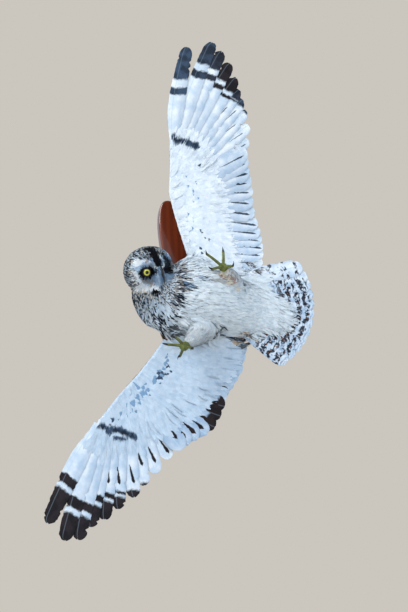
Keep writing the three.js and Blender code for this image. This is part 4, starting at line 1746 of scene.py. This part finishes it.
@dataclass
class Coat:
    """Feathers of the body, laid over the skin in pieces."""

    skin: Skin
    seed: int = 11
    patch: float = 0.003
    softness: float = 0.84
    root_depth: float = 1.5
    bristle_root: float = -37.5
    rng: Chance = field(init=False)
    material: Material = field(init=False)

    def build(self) -> None:
        """Grow every piece of the coat."""
        self.rng = np.random.default_rng(self.seed)
        spots, flat = self.skin.scatter(self.rng)
        keep = self._may_grow(spots)
        groups = self._groups(spots)
        self.material = CoatFinish("feather_coat").build()
        for tract in TRACTS:
            chosen = groups[tract.name] & keep
            some = spots.some(chosen)
            some.wall = None if tract.wall is None else np.full(chosen.sum(), tract.wall)
            rules, flow = coat_rules(some), flow_of_coat(some)
            self._lay(tract.name, some, flat[chosen], tract.vane, rules, flow)
        self._bristles()
        self._lores()
        for patch, wallwards, rise in TAIL_COVERTS:
            self._tail_coverts(patch, wallwards, rise)
        self._junction_tufts()

    @staticmethod
    def _may_grow(spots: Spots) -> Array:
        """Leave the eyes, the bill, the slab and the ends that the plumage runs off bare.

        Args:
            spots: places on the skin.

        Returns:
            Whether a feather grows at each.
        """
        local = HEAD.local(spots.points)
        away, which = spots.eye_angle()
        ahead = np.sum((local - EYE_CENTRES[which]) * EYE_GAZES[which], axis=1)
        bill = np.linalg.norm((local - (0, -42, -6)) * (1.9, 1, 0.55), axis=1)
        keep = ~((away < 8.0) & (ahead > 0)) & ~(bill < 5.5)
        keep &= ~((spots.points[:, 1] > -27) & (np.abs(spots.points[:, 0] + 9) < 40))
        stern = np.sum(flow_of_coat(spots) * spots.normals, axis=1)
        keep &= ~((stern > 0.5) & (spots.share("wing") > 0.5))
        return keep & ~((stern > 0.4) & (spots.points[:, 0] > 95) & (spots.facing_wall() > 0.3))

    @staticmethod
    def _groups(spots: Spots) -> dict[str, Array]:
        """Which places belong to each piece of the coat."""
        wall = spots.facing_wall() >= 0.5
        face, head, neck = (share > 0.5 for share in (spots.face(), spots.share("head"), spots.share("neck")))
        groups = {"face": face, "head": ~face & head, "neck": ~face & ~head & neck}
        for side in ("left", "right"):
            wing = spots.share(f"wing_{side}") > 0.5
            groups[f"leg_{side}"] = spots.share(f"leg_{side}") > 0.5
            groups[f"wing_{side}_below"] = wing & ~wall
            groups[f"wing_{side}_above"] = wing & wall
        taken = np.any(list(groups.values()), axis=0)
        return groups | {"belly": ~taken & ~wall, "back": ~taken & wall}

    def _bristles(self) -> None:
        """Fine bristles that run down over the root and the sides of the bill."""
        count = BRISTLES.count
        side = self.rng.choice((-1.0, 1.0), count)
        high = self.rng.random(count) ** 0.8
        out = 1.2 + 7.0 * self.rng.random(count) * (1 - 0.35 * high)
        over = high > 0.62
        out = np.where(over, out * 0.55 - 0.5, out)
        local = columns(side * out, self.bristle_root, -13 + 27 * high)
        facing = columns(side * (0.2 + out * 0.09), -0.9, 0.1)
        ahead = -0.55 + 0.2 * (1 - high) - 0.45 * over
        flow = columns(side * (out * 0.05 - 0.12), ahead, -1.0)
        self._lay_on_face(BRISTLES, local, facing, flow, 0.028)

    def _lores(self) -> None:
        """Bristly tufts that stand out between the bill and each eye."""
        count = LORES.count
        side = self.rng.choice((-1.0, 1.0), count)
        out = 10 + 8.5 * self.rng.random(count)
        high = -8 + 27 * self.rng.random(count)
        local = columns(side * out, self.bristle_root, high)
        facing = columns(side * 0.35, -0.9, 0.12)
        flow = columns(side * 0.6, -0.8, (high - 6) / 24)
        self._lay_on_face(LORES, local, facing, flow, 0.022)

    def _tail_coverts(self, patch: Patch, wallwards: float, rise: float) -> None:
        """Soft feathers that hide the roots of the tail, on one face of it.

        Args:
            patch: what they are.
            wallwards: 1 on the face towards the wall, -1 on the other.
            rise: how far their roots are from the middle of the tail.
        """
        angle = np.radians(TAIL.axis + TAIL.half_spread * 0.97 * (2 * self.rng.random(patch.count) - 1))
        radius = 70 + 48 * self.rng.random(patch.count)
        ray = columns(np.cos(angle), 0, np.sin(angle))
        points = np.array((TAIL.apex[0], 0, TAIL.apex[1])) + ray * radius[:, None]
        points[:, 1] = rise - TAIL.height0
        normals = np.tile((0, wallwards, 0), (patch.count, 1))
        flat = columns((points[:, 0] - 70) / 150 + 0.1, (points[:, 2] + 160) / 190 + 0.05)
        self._lay_patch(patch, points, normals, ray, flat, max(wallwards, 0.0))

    def _junction_tufts(self) -> None:
        """Loose dark tufts where the wings' innermost feathers meet the tail."""
        upper = np.arange(TUFTS.count) % 2 == 0
        middle = np.where(upper[:, None], (109.0, -78.0, -5.0), (84.0, -88.0, -146.0))
        points = middle + self.rng.normal(size=(TUFTS.count, 3)) * (6.5, 1.5, 5.5)
        place, normals = self.skin.outer.surface(points)
        flow = columns(1.0, -0.12, self.rng.normal(size=TUFTS.count) * 0.35 - 0.25)
        flat = 0.5 + (points[:, [0, 2]] - (100, -60)) * 0.004
        self._lay_patch(TUFTS, place - normals * self.root_depth, normals, flow, flat)

    def _lay_on_face(self, patch: Patch, local: Array, facing: Array, flow: Array, spread: float) -> None:
        """Lay a patch round the bill.

        Args:
            patch: what the feathers are.
            local: places in front of the face, in the head's own millimetres.
            facing: directions off the face, in the head's own axes.
            flow: directions in which they run, in the same axes.
            spread: scale of the places on the unwrapped skin.
        """
        place, _ = self.skin.outer.surface(HEAD.world(local))
        normals = HEAD.turned(unit(facing))
        flat = 0.5 + local[:, [0, 2]] * spread
        self._lay_patch(patch, place - normals * self.root_depth, normals, HEAD.turned(flow), flat)

    def _lay_patch(
        self, patch: Patch, points: Array, normals: Array, flow: Array, flat: Array, wall: float = 0.0
    ) -> None:
        """Lay a patch of feathers that grow at given places.

        Args:
            patch: what the feathers are.
            points: where they grow.
            normals: directions off the body.
            flow: directions in which they run.
            flat: their places on the unwrapped skin.
            wall: 1 on the side of the wall, else 0.
        """
        weights = np.zeros((len(points), len(REGIONS)))
        weights[:, REGIONS.index(patch.region)] = 1
        spots = Spots(points, normals, weights, np.full(len(points), wall))
        rules = np.tile(patch.size, (len(points), 1))
        self._lay(patch.name, spots, flat, PLUME_VANE, rules, flow, patch.snap)

    def _lay(
        self,
        key: str,
        spots: Spots,
        flat: Array,
        shape: VaneShape,
        rules: Array,
        flow: Array,
        snap: float = 1.0,
    ) -> None:
        """Lay one piece of the coat.

        Args:
            key: what it covers.
            spots: where the feathers grow.
            flat: the same places on the unwrapped skin.
            shape: grid of one feather.
            rules: depth, length, width and spacing of each.
            flow: direction in which each runs.
            snap: how far they follow the outside of the coat.
        """
        name = f"coat_{key}"
        plumes = self._shafts(spots, flat, rules, flow, snap)
        points, along, across, up = self._vanes(plumes, shape)
        count, each = along.shape
        mesh = mesh_of(name, points.reshape(-1, 3), grid_faces(len(shape.rows), len(shape.across), count))
        even = blend_rows(plumes.away, plumes.tip_normal, 0.6 * (1 - plumes.flank))[:, None]
        own = ((1 - self.softness) * plumes.calm)[:, None, None]
        soft = unit(even * (1 - own) + up * own)
        mesh.normals_split_custom_set_from_vertices(soft.reshape(-1, 3))
        add_map(mesh, "vane", columns(along, across).reshape(-1, 2))
        u, v, _ = shape.grid()
        shift = columns(u - 0.5, v * 0.5) * self.patch
        add_map(mesh, "OFBake", (plumes.flat[:, None] + shift).reshape(-1, 2))
        looks = self._looks(plumes).repeated(each)
        if key.endswith("below"):
            ragged = np.repeat(np.tanh(plumes.chance[:, 4]), each)
            looks.apply(COMMA_STROKES, points.reshape(-1, 3)[:, [0, 2]], ragged, np.ones(len(ragged)))
        for kind, values in vars(looks).items():
            add_colour(mesh, kind, values)
        to_object(name, mesh, self.material)
        LOG.info("%s: %d feathers, %d faces", name, count, len(mesh.polygons))

    def _shafts(self, spots: Spots, flat: Array, rules: Array, flow: Array, snap: float) -> Plumes:
        """Work out where each feather runs, and leave out those that would show on the wrong side.

        Args:
            spots: where the feathers grow.
            flat: the same places on the unwrapped skin.
            rules: depth, length, width and spacing of each.
            flow: direction in which each runs.
            snap: how far they follow the outside of the coat.

        Returns:
            The feathers that stay.
        """
        chance = self.rng.normal(size=(len(flat), 5))
        root, wing, wall = spots.points, spots.share("wing"), spots.facing_wall()
        lie = along_surface(flow, spots.normals) if snap == 1 else unit(flow)
        side = np.cross(spots.normals, lie)
        calm = 1 - 0.55 * wing
        turn = chance[:, 0] * 0.13 * calm
        lie = lie * np.cos(turn)[:, None] + side * np.sin(turn)[:, None]
        length = rules[:, 1] * np.clip(1 + chance[:, 1] * 0.14, 0.65, 1.4)
        width = rules[:, 2] * np.clip(1 + chance[:, 2] * 0.12, 0.7, 1.4)
        depth = rules[:, 0]
        clear = 1.5 + 3.0 * wing + 3.0 * wall * spots.share("trunk")
        flank = np.maximum(wing, smoothstep(root[:, 0], 70, 130)) * (spots.wall is not None)
        lift = np.clip(0.2 + chance[:, 3] * 0.18, -0.1, 1.0) * calm
        lift += flank * np.where(wall > 0.5, 1.0, 0.2)
        away = unit(blend_rows(spots.normals, spots.wallwards(), flank))

        def reach(share: float, above: Array) -> tuple[Array, Array]:
            """Place on the outside of the coat at a share of the feather's length."""
            free = root + lie * (length * share)[:, None]
            place, normal = self.skin.outer.surface(free + away * (depth + clear)[:, None])
            return free + (place + normal * above[:, None] - free) * snap, normal

        tip, tip_normal = reach(0.98, lift)
        middle, _ = reach(0.5, lift - (0.14 * depth + 0.2) * (1 - flank))
        control = 2 * middle - 0.5 * (root + tip)
        shown = self._in_the_open(spots, tip, 0.7) & self._in_the_open(spots, middle, 2.4)
        shown &= np.linalg.norm(tip - root, axis=1) < 1.3 * length + 4
        sizes = (calm, lie, length, width, flank, away, control, tip, tip_normal)
        return Plumes(spots, flat, chance, *sizes).some(shown)

    def _vanes(self, plumes: Plumes, shape: VaneShape) -> tuple[Array, Array, Array, Array]:
        """Work out the points of every feather.

        Args:
            plumes: the feathers.
            shape: grid of one of them.

        Returns:
            Points, shares along and across, and directions off each vane.
        """
        u, v, half = shape.grid()
        outer = smoothstep(u, 0.45, 0.8)
        shake = self.rng.normal(size=(2, len(plumes.flat), u.shape[1])) * outer
        along = np.clip(u + shake[0] * shape.fray - outer * 0.05 * np.abs(v), 0, 1.06)
        spread = v * half * (1 + shake[1] * shape.fray * 2.4)
        normal, width = plumes.spots.normals, plumes.width[:, None] / 2
        root, control, tip = (rows[:, None] for rows in (plumes.spots.points, plumes.control, plumes.tip))
        t = along[..., None]
        line = root * (1 - t) ** 2 + control * 2 * t * (1 - t) + tip * t**2
        run = unit((control - root) * (1 - t) + (tip - control) * t)
        across = unit(np.cross(unit(normal + plumes.tip_normal), plumes.lie))[:, None]
        up = np.cross(run, across)
        up = up * np.sign(np.sum(up * normal[:, None], axis=2, keepdims=True))
        sag = shape.camber * (v * half) ** 2 * width - 0.12 * (1 - np.abs(v)) * outer
        points = line + across * (spread * width)[..., None] - up * sag[..., None]
        return points, along, np.broadcast_to(v * half, along.shape), up

    def _looks(self, plumes: Plumes) -> Marks:
        """Colours and marks of each feather, read where its end lies."""
        spots = plumes.spots
        ahead = plumes.length * (0.78 + 0.1 * spots.share("wing"))
        ends = spots.points + plumes.lie * ahead[:, None]
        looks = plumage_marks(Spots(ends, spots.normals, spots.weights, spots.facing_wall()), self.rng)
        looks.tint *= np.clip(1 + 0.06 * plumes.chance[:, 4] * plumes.calm, 0.8, 1.15)[:, None]
        return looks

    def _in_the_open(self, spots: Spots, places: Array, above: float) -> Array:
        """Find feathers of wings and stern that are on their own side of the long feathers.

        Args:
            spots: where they grow.
            places: a place on each.
            above: distance from it at which nothing may lie over it.

        Returns:
            Whether each is in the open there.
        """
        if spots.wall is None:
            return np.ones(len(places), bool)
        outwards = spots.wallwards()
        hidden = self.skin.outer.covered(places + outwards * above, outwards, 14)
        dorsal = spots.facing_wall() > 0.5
        hidden |= dorsal & ~self.skin.outer.covered(places + outwards * 0.4, -outwards, 25)
        return ~(hidden & ((spots.share("wing") > 0.5) | (spots.points[:, 0] > 95)))


# ---- long feathers


@dataclass
class LongFeathers:
    """Fan of long feathers, each with an upper and a lower face and a shaft."""

    name: str
    quills: list[Quill]
    nodes: tuple[str, ...]
    seed: int
    rows: int = 44
    across: int = 11
    tilt: float = 0.75
    thickness: float = 0.4
    softness: float = 0.6

    def build(self, material: Material) -> Piece:
        """Make the fan.

        Args:
            material: finish of the feathers.

        Returns:
            The fan, standing in for its nodes.
        """
        rng = np.random.default_rng(self.seed)
        points, vanes = zip(*(self._vane(quill, rng) for quill in self.quills))
        count, marks = len(points), [quill.marks for quill in self.quills]
        mesh = mesh_of(self.name, np.concatenate(points), self._faces(count))
        self._soften(mesh, count)
        add_map(mesh, "vane", np.concatenate(vanes) * MM)
        cells = math.ceil(math.sqrt(count * 2))
        add_map(mesh, "OFBake", np.concatenate([self._cell(k, cells) for k in range(count * 2)]))
        each = self.rows * self.across * 2
        bands, streaks = [mark.bands() for mark in marks], [mark.streaks() for mark in marks]
        add_colour(mesh, "bands", np.repeat(bands, each, axis=0))
        add_colour(mesh, "streaks", np.repeat(streaks, each, axis=0))
        upper = np.tile(np.repeat((0.0, 1.0), each // 2), count)
        # The upper-face flag, and each feather's painted shade, as point attributes.
        for key, values in (("dorsal", upper), ("shade", np.repeat([mark.shade for mark in marks], each))):
            layer = mesh.attributes.new(key, "FLOAT", "POINT")
            layer.data.foreach_set("value", values.astype(np.float32))
        fan = to_object(self.name, mesh, material)
        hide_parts(*self.nodes)
        return fan

    def _soften(self, mesh: Mesh, count: int) -> None:
        """Turn the shading of each face part of the way to that of a flat fan."""
        own = read_rows(mesh.vertex_normals, "vector", 3).reshape(count, 2, -1, 3)
        flat = unit(own.mean(axis=2, keepdims=True))
        mixed = unit(own * (1 - self.softness) + flat * self.softness)
        mesh.normals_split_custom_set_from_vertices(mixed.reshape(-1, 3))

    def _faces(self, count: int) -> Array:
        """Quads of both faces of every feather and of the rims that close them."""
        size = self.rows * self.across
        one = np.arange(size).reshape(self.rows, self.across)
        rim = np.concatenate([one[:, 0], one[-1, 1:], one[-2::-1, -1], one[0, -2:0:-1]])
        after = np.roll(rim, -1)
        grid = grid_faces(self.rows, self.across)
        one = np.concatenate([grid, grid[:, ::-1] + size, columns(rim, rim + size, after + size, after)])
        return (one[None] + (np.arange(count) * size * 2)[:, None, None]).reshape(-1, 4)

    def _cell(self, index: int, cells: int) -> Array:
        """Place of one face in the baked picture."""
        column, row = divmod(index, cells)
        along, across = np.linspace(0.02, 0.98, self.rows), np.linspace(0.03, 0.97, self.across)
        u, v = np.meshgrid(along, across, indexing="ij")
        return columns(column + v.ravel(), row + u.ravel()) / cells

    def _vane(self, quill: Quill, rng: Chance) -> tuple[Array, Array]:
        """Work out the two faces of one feather.

        Args:
            quill: the feather.
            rng: source of chance for its worn edges.

        Returns:
            Points, and the distance of each from the tip and from the shaft.
        """
        _, _, length = quill.line()
        even = np.linspace(0, 1, self.rows)[:, None]
        t = 1 - (1 - even) ** 1.25
        half = quill.size.width(t, length) / 2
        v = np.linspace(-1, 1, self.across)
        shaft = quill.shaft * quill.rear * half
        frayed = rng.normal(size=(self.rows, 2)) * 0.35
        for _ in range(3):
            row, edge = rng.integers(self.rows // 3, self.rows - 4), rng.integers(0, 2)
            frayed[row, edge] -= 2.5 + 2 * rng.random()
        edge = np.where(v < 0, frayed[:, :1], frayed[:, 1:]) * np.abs(v) ** 3
        side = np.where(v < 0, half + shaft, half - shaft) * v
        across = shaft + side + np.sign(v) * edge
        ragged = rng.normal(size=self.across) * 0.006 * smoothstep(even, 0.8, 1)
        along = np.clip(t + ragged, 0, 1.0)
        lean = quill.rear * across / np.maximum(half, 8) * self.tilt * smoothstep(t, 0.02, 0.3)
        ridge = 0.3 * np.exp(-((side / 1.0) ** 2)) * (1 - 0.6 * t)
        thin = self.thickness * (1 - 0.75 * np.abs(v)) * (1 - 0.4 * t)
        offs = (lean - 0.3 * v**2 + sign * (thin / 2 + ridge) for sign in (1, -1))
        faces = [quill.place(along.ravel(), across.ravel(), off.ravel()) for off in offs]
        marks = columns((1 - along) * length, side * quill.rear).reshape(-1, 2)
        return np.concatenate(faces), np.concatenate([marks, marks])


# ---- head parts, feet and slab


@dataclass
class Eyes:
    """Two glass eyes with dark lids."""

    rings: int = 28
    sides: int = 40
    cornea: float = 0.45
    opening: float = 6.5
    lid_reach: float = 9.4
    lid_drop: float = 0.9

    def build(self) -> None:
        """Make eyes and lids."""
        glass = EyeFinish("glass_eye").build()
        lid = Graph("eyelid", Base_Color=linear("15161b"), Roughness=0.5).material
        for name, centre, gaze in zip(("right", "left"), EYE_CENTRES, EYE_GAZES):
            place = self._place(centre, gaze)
            ball = to_object(f"eye_ball_{name}", self._ball(f"eye_ball_{name}", place), glass)
            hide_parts(f"eye_{name}")
            to_object(f"eye_lids_{name}", self._lids(f"eye_lids_{name}", place), lid)

    @staticmethod
    def _place(centre: Array, gaze: Array) -> Matrix:
        """From an eye's own millimetres, with Z along its gaze and Y upwards, to the world."""
        side = unit(np.cross((0.0, 0.0, 1.0), gaze))
        axes = Matrix((side, np.cross(gaze, side), gaze)).transposed().to_4x4()
        return HEAD.matrix() @ Matrix.Translation(centre) @ axes

    def _ball(self, name: str, place: Matrix) -> Mesh:
        """Eyeball with a slightly raised cornea, mapped by angle from the pupil and round it."""
        work = bmesh.new()
        bmesh.ops.create_uvsphere(work, u_segments=self.sides, v_segments=self.rings, radius=EYE_RADIUS)
        vane, baked = (work.loops.layers.uv.new(key) for key in ("vane", "OFBake"))
        for face in work.faces:
            middle = face.calc_center_median()
            toward = math.atan2(middle.y, middle.x)
            for corner in face.loops:
                place_at = corner.vert.co
                away = place_at.angle((0, 0, 1))
                on_axis = math.hypot(place_at.x, place_at.y) < 0.01
                turn = 0 if on_axis else math.atan2(place_at.y, place_at.x) - toward
                around = toward + math.remainder(turn, 2 * math.pi)
                share = math.sin(away) if away < math.pi / 2 else 2 - math.sin(away)
                corner[vane].uv = (share, around)
                corner[baked].uv = (min(max(around / (2 * math.pi) + 0.5, 0), 1), away / math.pi)
        for vertex in work.verts:
            away = vertex.co.angle((0, 0, 1))
            vertex.co *= 1 + (self.cornea * math.exp(-((away / 0.55) ** 2)) - 0.05) / EYE_RADIUS
        return finished(name, work, place)

    def _ahead(self, reach: float) -> float:
        """How far in front of the eye's centre its ball is, at a distance from the gaze."""
        return math.sqrt(EYE_RADIUS**2 - min(reach, 9.0) ** 2)

    def _lids(self, name: str, place: Matrix) -> Mesh:
        """Rim of skin round the eye, lower over the top of it."""
        work = bmesh.new()
        profile = []
        for share, height in ((0, 0.15), (0.12, 0.75), (0.45, 1.0), (0.8, 0.55), (1, -0.6)):
            reach = self.opening + (self.lid_reach - self.opening) * share
            profile.append(work.verts.new((reach, 0, self._ahead(reach) + height)))
        edges = [work.edges.new(pair) for pair in zip(profile[:-1], profile[1:])]
        around = {"cent": (0, 0, 0), "axis": (0, 0, 1), "angle": 2 * math.pi, "steps": 48}
        bmesh.ops.spin(work, geom=profile + edges, use_merge=True, **around)
        for vertex in work.verts:
            reach = math.hypot(vertex.co.x, vertex.co.y)
            share = (self.lid_reach - reach) / (self.lid_reach - self.opening)
            lower = reach - self.lid_drop * max(vertex.co.y / reach, 0) ** 2 * share
            rise = self._ahead(lower) - self._ahead(reach)
            vertex.co = Vector((vertex.co.x * lower / reach, vertex.co.y * lower / reach, vertex.co.z + rise))
        return finished(name, work, place)


@dataclass
class Bill:
    """Short hooked bill with a ridge, a groove at the gape and two nostrils."""

    root_out: float = 33
    rise: float = 7
    reach: float = 46.5
    drop: float = -21
    width: float = 7.6
    height: float = 12
    curl: float = 105
    steps: int = 26
    sides: int = 24

    def _stations(self) -> list[Matrix]:
        """Place, turn and size of each ring."""
        made = []
        for t in np.linspace(0, 1, self.steps):
            turn = t * math.radians(self.curl)
            out = self.root_out + (self.reach - self.root_out) * math.sin(turn)
            size = (1 - t) ** 0.75
            place = Matrix.Translation((0, -out, self.rise + (self.drop - self.rise) * t * t))
            half = (max(self.width / 2 * size, 0.35), max(self.height / 2 * size, 0.4))
            turned = place @ Matrix.Rotation(math.pi / 2 + turn, 4, "X")
            made.append(turned @ Matrix.Diagonal((*half, 1, 1)))
        return made

    def build(self, horn: Material) -> None:
        """Make the bill."""
        work = bmesh.new()
        stations = self._stations()
        rings = loft(work, stations, self.sides)
        for k, (ring, station) in enumerate(zip(rings, stations)):
            back = station.inverted()
            for vertex in ring:
                wide, lift, _ = back @ vertex.co
                nostril = math.exp(-(((k / (self.steps - 1) - 0.3) / 0.05) ** 2) - ((lift - 0.25) / 0.3) ** 2)
                wide *= 1 - 0.14 * math.exp(-(((lift + 0.45) / 0.16) ** 2))
                wide *= (1 - 0.25 * max(lift, 0) ** 2) * (1 - 0.22 * nostril)
                vertex.co = station @ Vector((wide, lift, 0))
        bill = to_object("bill_horn", finished("bill_horn", work, HEAD.matrix()), horn)
        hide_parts("bill")


@dataclass
class Foot:
    """Scaly toes with hooked claws, worked out as x, z and height from the wall."""

    leg: Leg
    toe_radius: float = 2.9
    claw_radius: float = 2.1
    shank_radius: float = 5.4
    arch: float = 5
    place: Matrix = field(default_factory=lambda: Matrix.Scale(MM, 4) @ Matrix.Rotation(math.pi / 2, 4, "X"))

    def build(self, skin: Material, horn: Material) -> None:
        """Make the foot and its four claws."""
        name = f"toes_{self.leg.name}"
        work = bmesh.new()
        pad = Matrix.Translation(self.leg.pad) @ Matrix.Diagonal((8.5, 8.5, 5.0, 1))
        bmesh.ops.create_uvsphere(work, u_segments=16, v_segments=10, radius=1, matrix=pad)
        ankle = np.array([row[:3] for row in self.leg.path[-2:]])
        shank = spline((ankle.mean(axis=0), ankle[-1], self.leg.pad), np.linspace(0, 1, 12))
        loft(work, rod_stations(shank, np.full(12, self.shank_radius), (1, 0, 0)), 18)
        t = np.linspace(0, 1, 22)
        scutes = 1 + 0.07 * np.abs(np.sin(t * 11)) + 0.12 * np.exp(-(((t - 0.94) / 0.08) ** 2))
        for k, (toe, hook) in enumerate(zip(self.leg.toes, self.leg.hooks)):
            line = self._toe_line(t, toe)
            loft(work, rod_stations(line, self.toe_radius * (1 - 0.28 * t) * scutes, (0, 0, 1)), 14)
            self._claw(k, line[-1], hook, horn)
        foot = to_object(name, finished(name, work, self.place), skin)
        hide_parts(f"foot_{self.leg.name}")

    def _toe_line(self, t: Array, toe: Triple) -> Array:
        """Middle of a toe."""
        dx, dz, dy = toe
        rise = dy * np.sin(t * math.pi * 0.75)
        return np.array(self.leg.pad) + columns(dx * t, dz * t, rise)

    def _claw(self, k: int, end: Array, hook: Pair, horn: Material) -> None:
        """One hooked claw at the end of a toe."""
        t = np.linspace(0, 1, 14)
        bend = t * math.pi / 2
        arch = self.arch * np.sin(t * math.pi * 0.6)
        line = end + columns(hook[0] * np.sin(bend), hook[1] * (1 - np.cos(bend)), arch)
        work = bmesh.new()
        loft(work, rod_stations(line, np.maximum(self.claw_radius * (1 - t**1.3), 0.12), (0.3, 0.2, 1.0)), 12)
        name = f"claw_horn_{self.leg.name}_{k + 1}"
        claw = to_object(name, finished(name, work, self.place), horn)
        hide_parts(f"claw_{self.leg.name}_{k + 1}")


@dataclass
class Slab:
    """Leaf-shaped wall slab with rounded edges."""

    thickness: float = 24
    half_length: float = 143
    half_width: float = 35
    x: float = -9
    z: float = 4
    lean: float = 14
    edge: float = 3.2
    sides: int = 144
    fullness: float = 0.86

    def build(self) -> None:
        """Make the slab: an outline, drawn out to its thickness, with both rims rounded."""
        work = bmesh.new()
        bmesh.ops.create_circle(work, cap_ends=True, segments=self.sides, radius=1)
        for vertex in work.verts:
            across = math.copysign(abs(vertex.co.x) ** self.fullness, vertex.co.x)
            vertex.co = Vector((across * self.half_width, vertex.co.y * self.half_length, 0))
        drawn = bmesh.ops.extrude_face_region(work, geom=list(work.faces))["geom"]
        moved = [item for item in drawn if isinstance(item, bmesh.types.BMVert)]
        bmesh.ops.translate(work, verts=moved, vec=(0, 0, self.thickness))
        caps = [face for face in work.faces if len(face.verts) > 4]
        rims = list(dict.fromkeys(edge for face in caps for edge in face.edges))
        bmesh.ops.bevel(
            work, geom=rims, offset=self.edge, affect="EDGES", segments=6, profile=0.5, material=-1
        )
        caps = [face for face in work.faces if len(face.verts) > 4]
        bmesh.ops.inset_individual(work, faces=caps, thickness=3.0, use_even_offset=True)
        turn = Matrix.Rotation(math.radians(-self.lean), 4, "Y") @ Matrix.Rotation(math.pi / 2, 4, "X")
        place = Matrix.Scale(MM, 4) @ Matrix.Translation((self.x, 0, self.z)) @ turn
        mesh = finished("slab", work, place)
        material = VarnishFinish("varnished_wood", math.radians(self.lean)).build()
        slab = to_object("slab", mesh, material)
        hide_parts("wall_slab")


# ---- stage


@dataclass
class Stage:
    """Camera, lights and the plain ground."""

    eye: Triple = (-0.295, -1.420, -0.551)
    right: Triple = (0.9752, -0.2207, -0.0169)
    down: Triple = (0.0539, 0.3109, -0.9489)
    ahead: Triple = (0.2147, 0.9245, 0.3151)
    lens: float = 46.176
    floor: float = -0.9

    def build(self) -> None:
        """Set up everything round the owl."""
        scene = bpy.context.scene
        data = bpy.data.cameras.new("camera")
        data.lens = self.lens
        data.sensor_width = 36
        scene.camera = add_object("camera", data)
        turn = Matrix((self.right, [-v for v in self.down], [-v for v in self.ahead])).transposed()
        scene.camera.matrix_world = Matrix.Translation(self.eye) @ turn.to_4x4()
        scene.view_settings.view_transform = "Standard"
        self._light("key", (-1.5, -1.3, 1.5), 1.2, 45, (1.0, 0.99, 0.98))
        self._light("fill", (1.3, -1.5, 0.2), 1.6, 14, (0.8, 0.9, 1.0))
        self._light("low", (-0.9, -1.4, -0.6), 1.2, 11, (0.94, 0.97, 1.0))
        self._ground()
        self._world(scene)

    @staticmethod
    def _light(name: str, place: Triple, size: float, power: float, colour: Colour) -> None:
        """Square light that points at the owl."""
        data = bpy.data.lights.new(name, "AREA")
        data.size, data.energy, data.color = size, power, colour
        light = add_object(name, data)
        light.location = place
        light.rotation_euler = (-Vector(place)).to_track_quat("-Z", "Y").to_euler()

    def _ground(self) -> None:
        """Plain pale floor."""
        work = bmesh.new()
        bmesh.ops.create_grid(work, x_segments=1, y_segments=1, size=3)
        bmesh.ops.translate(work, verts=work.verts, vec=(0, 0, self.floor))
        ground = add_object("ground", kept_mesh("ground", work))
        pale = Graph("plain_ground", Base_Color=linear("c9c3bb"), Roughness=0.9)
        ground.data.materials.append(pale.material)

    @staticmethod
    def _world(scene: bpy.types.Scene) -> None:
        """Even pale surroundings: warm behind, cool as light."""
        world = bpy.data.worlds.new("surroundings")
        world.use_nodes = True
        nodes, links = world.node_tree.nodes, world.node_tree.links
        backdrop, ambient = nodes["Background"], nodes.new("ShaderNodeBackground")
        backdrop.inputs["Color"].default_value = (*linear("cbc6be"), 1)
        ambient.inputs["Color"].default_value = (*linear("dfe6f0"), 1)
        ambient.inputs["Strength"].default_value = 0.56
        path, mix = nodes.new("ShaderNodeLightPath"), nodes.new("ShaderNodeMixShader")
        links.new(path.outputs["Is Camera Ray"], mix.inputs[0])
        links.new(ambient.outputs[0], mix.inputs[1])
        links.new(backdrop.outputs[0], mix.inputs[2])
        links.new(mix.outputs[0], nodes["World Output"].inputs["Surface"])
        scene.world = world


# ---- all together


def main() -> None:
    """Build the owl and everything round it."""
    logging.basicConfig(level=logging.INFO, format="%(name)s %(message)s")
    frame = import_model()
    Stage().build()
    Slab().build()
    quill_finish = QuillFinish("long_feather").build()
    fans = [LongFeathers("quills_tail", TAIL.quills(), ("tail",), 70).build(quill_finish)]
    for k, wing in enumerate(WINGS):
        names = (f"wing_{wing.name}_primaries", f"wing_{wing.name}_secondaries")
        fans.append(LongFeathers(f"quills_{wing.name}", wing.quills(), names, 60 + k).build(quill_finish))
    skin = Skin(frame["nodes"], fans)
    skin.build()
    LOG.info("skin: %d triangles", len(skin.triangles))
    Coat(skin).build()
    Eyes().build()
    horn = HornFinish("horn").build()
    Bill().build(horn)
    toe_skin = ToeFinish("scaly_toes").build()
    for leg in LEGS:
        Foot(leg).build(toe_skin, horn)


if __name__ == "__main__":
    main()
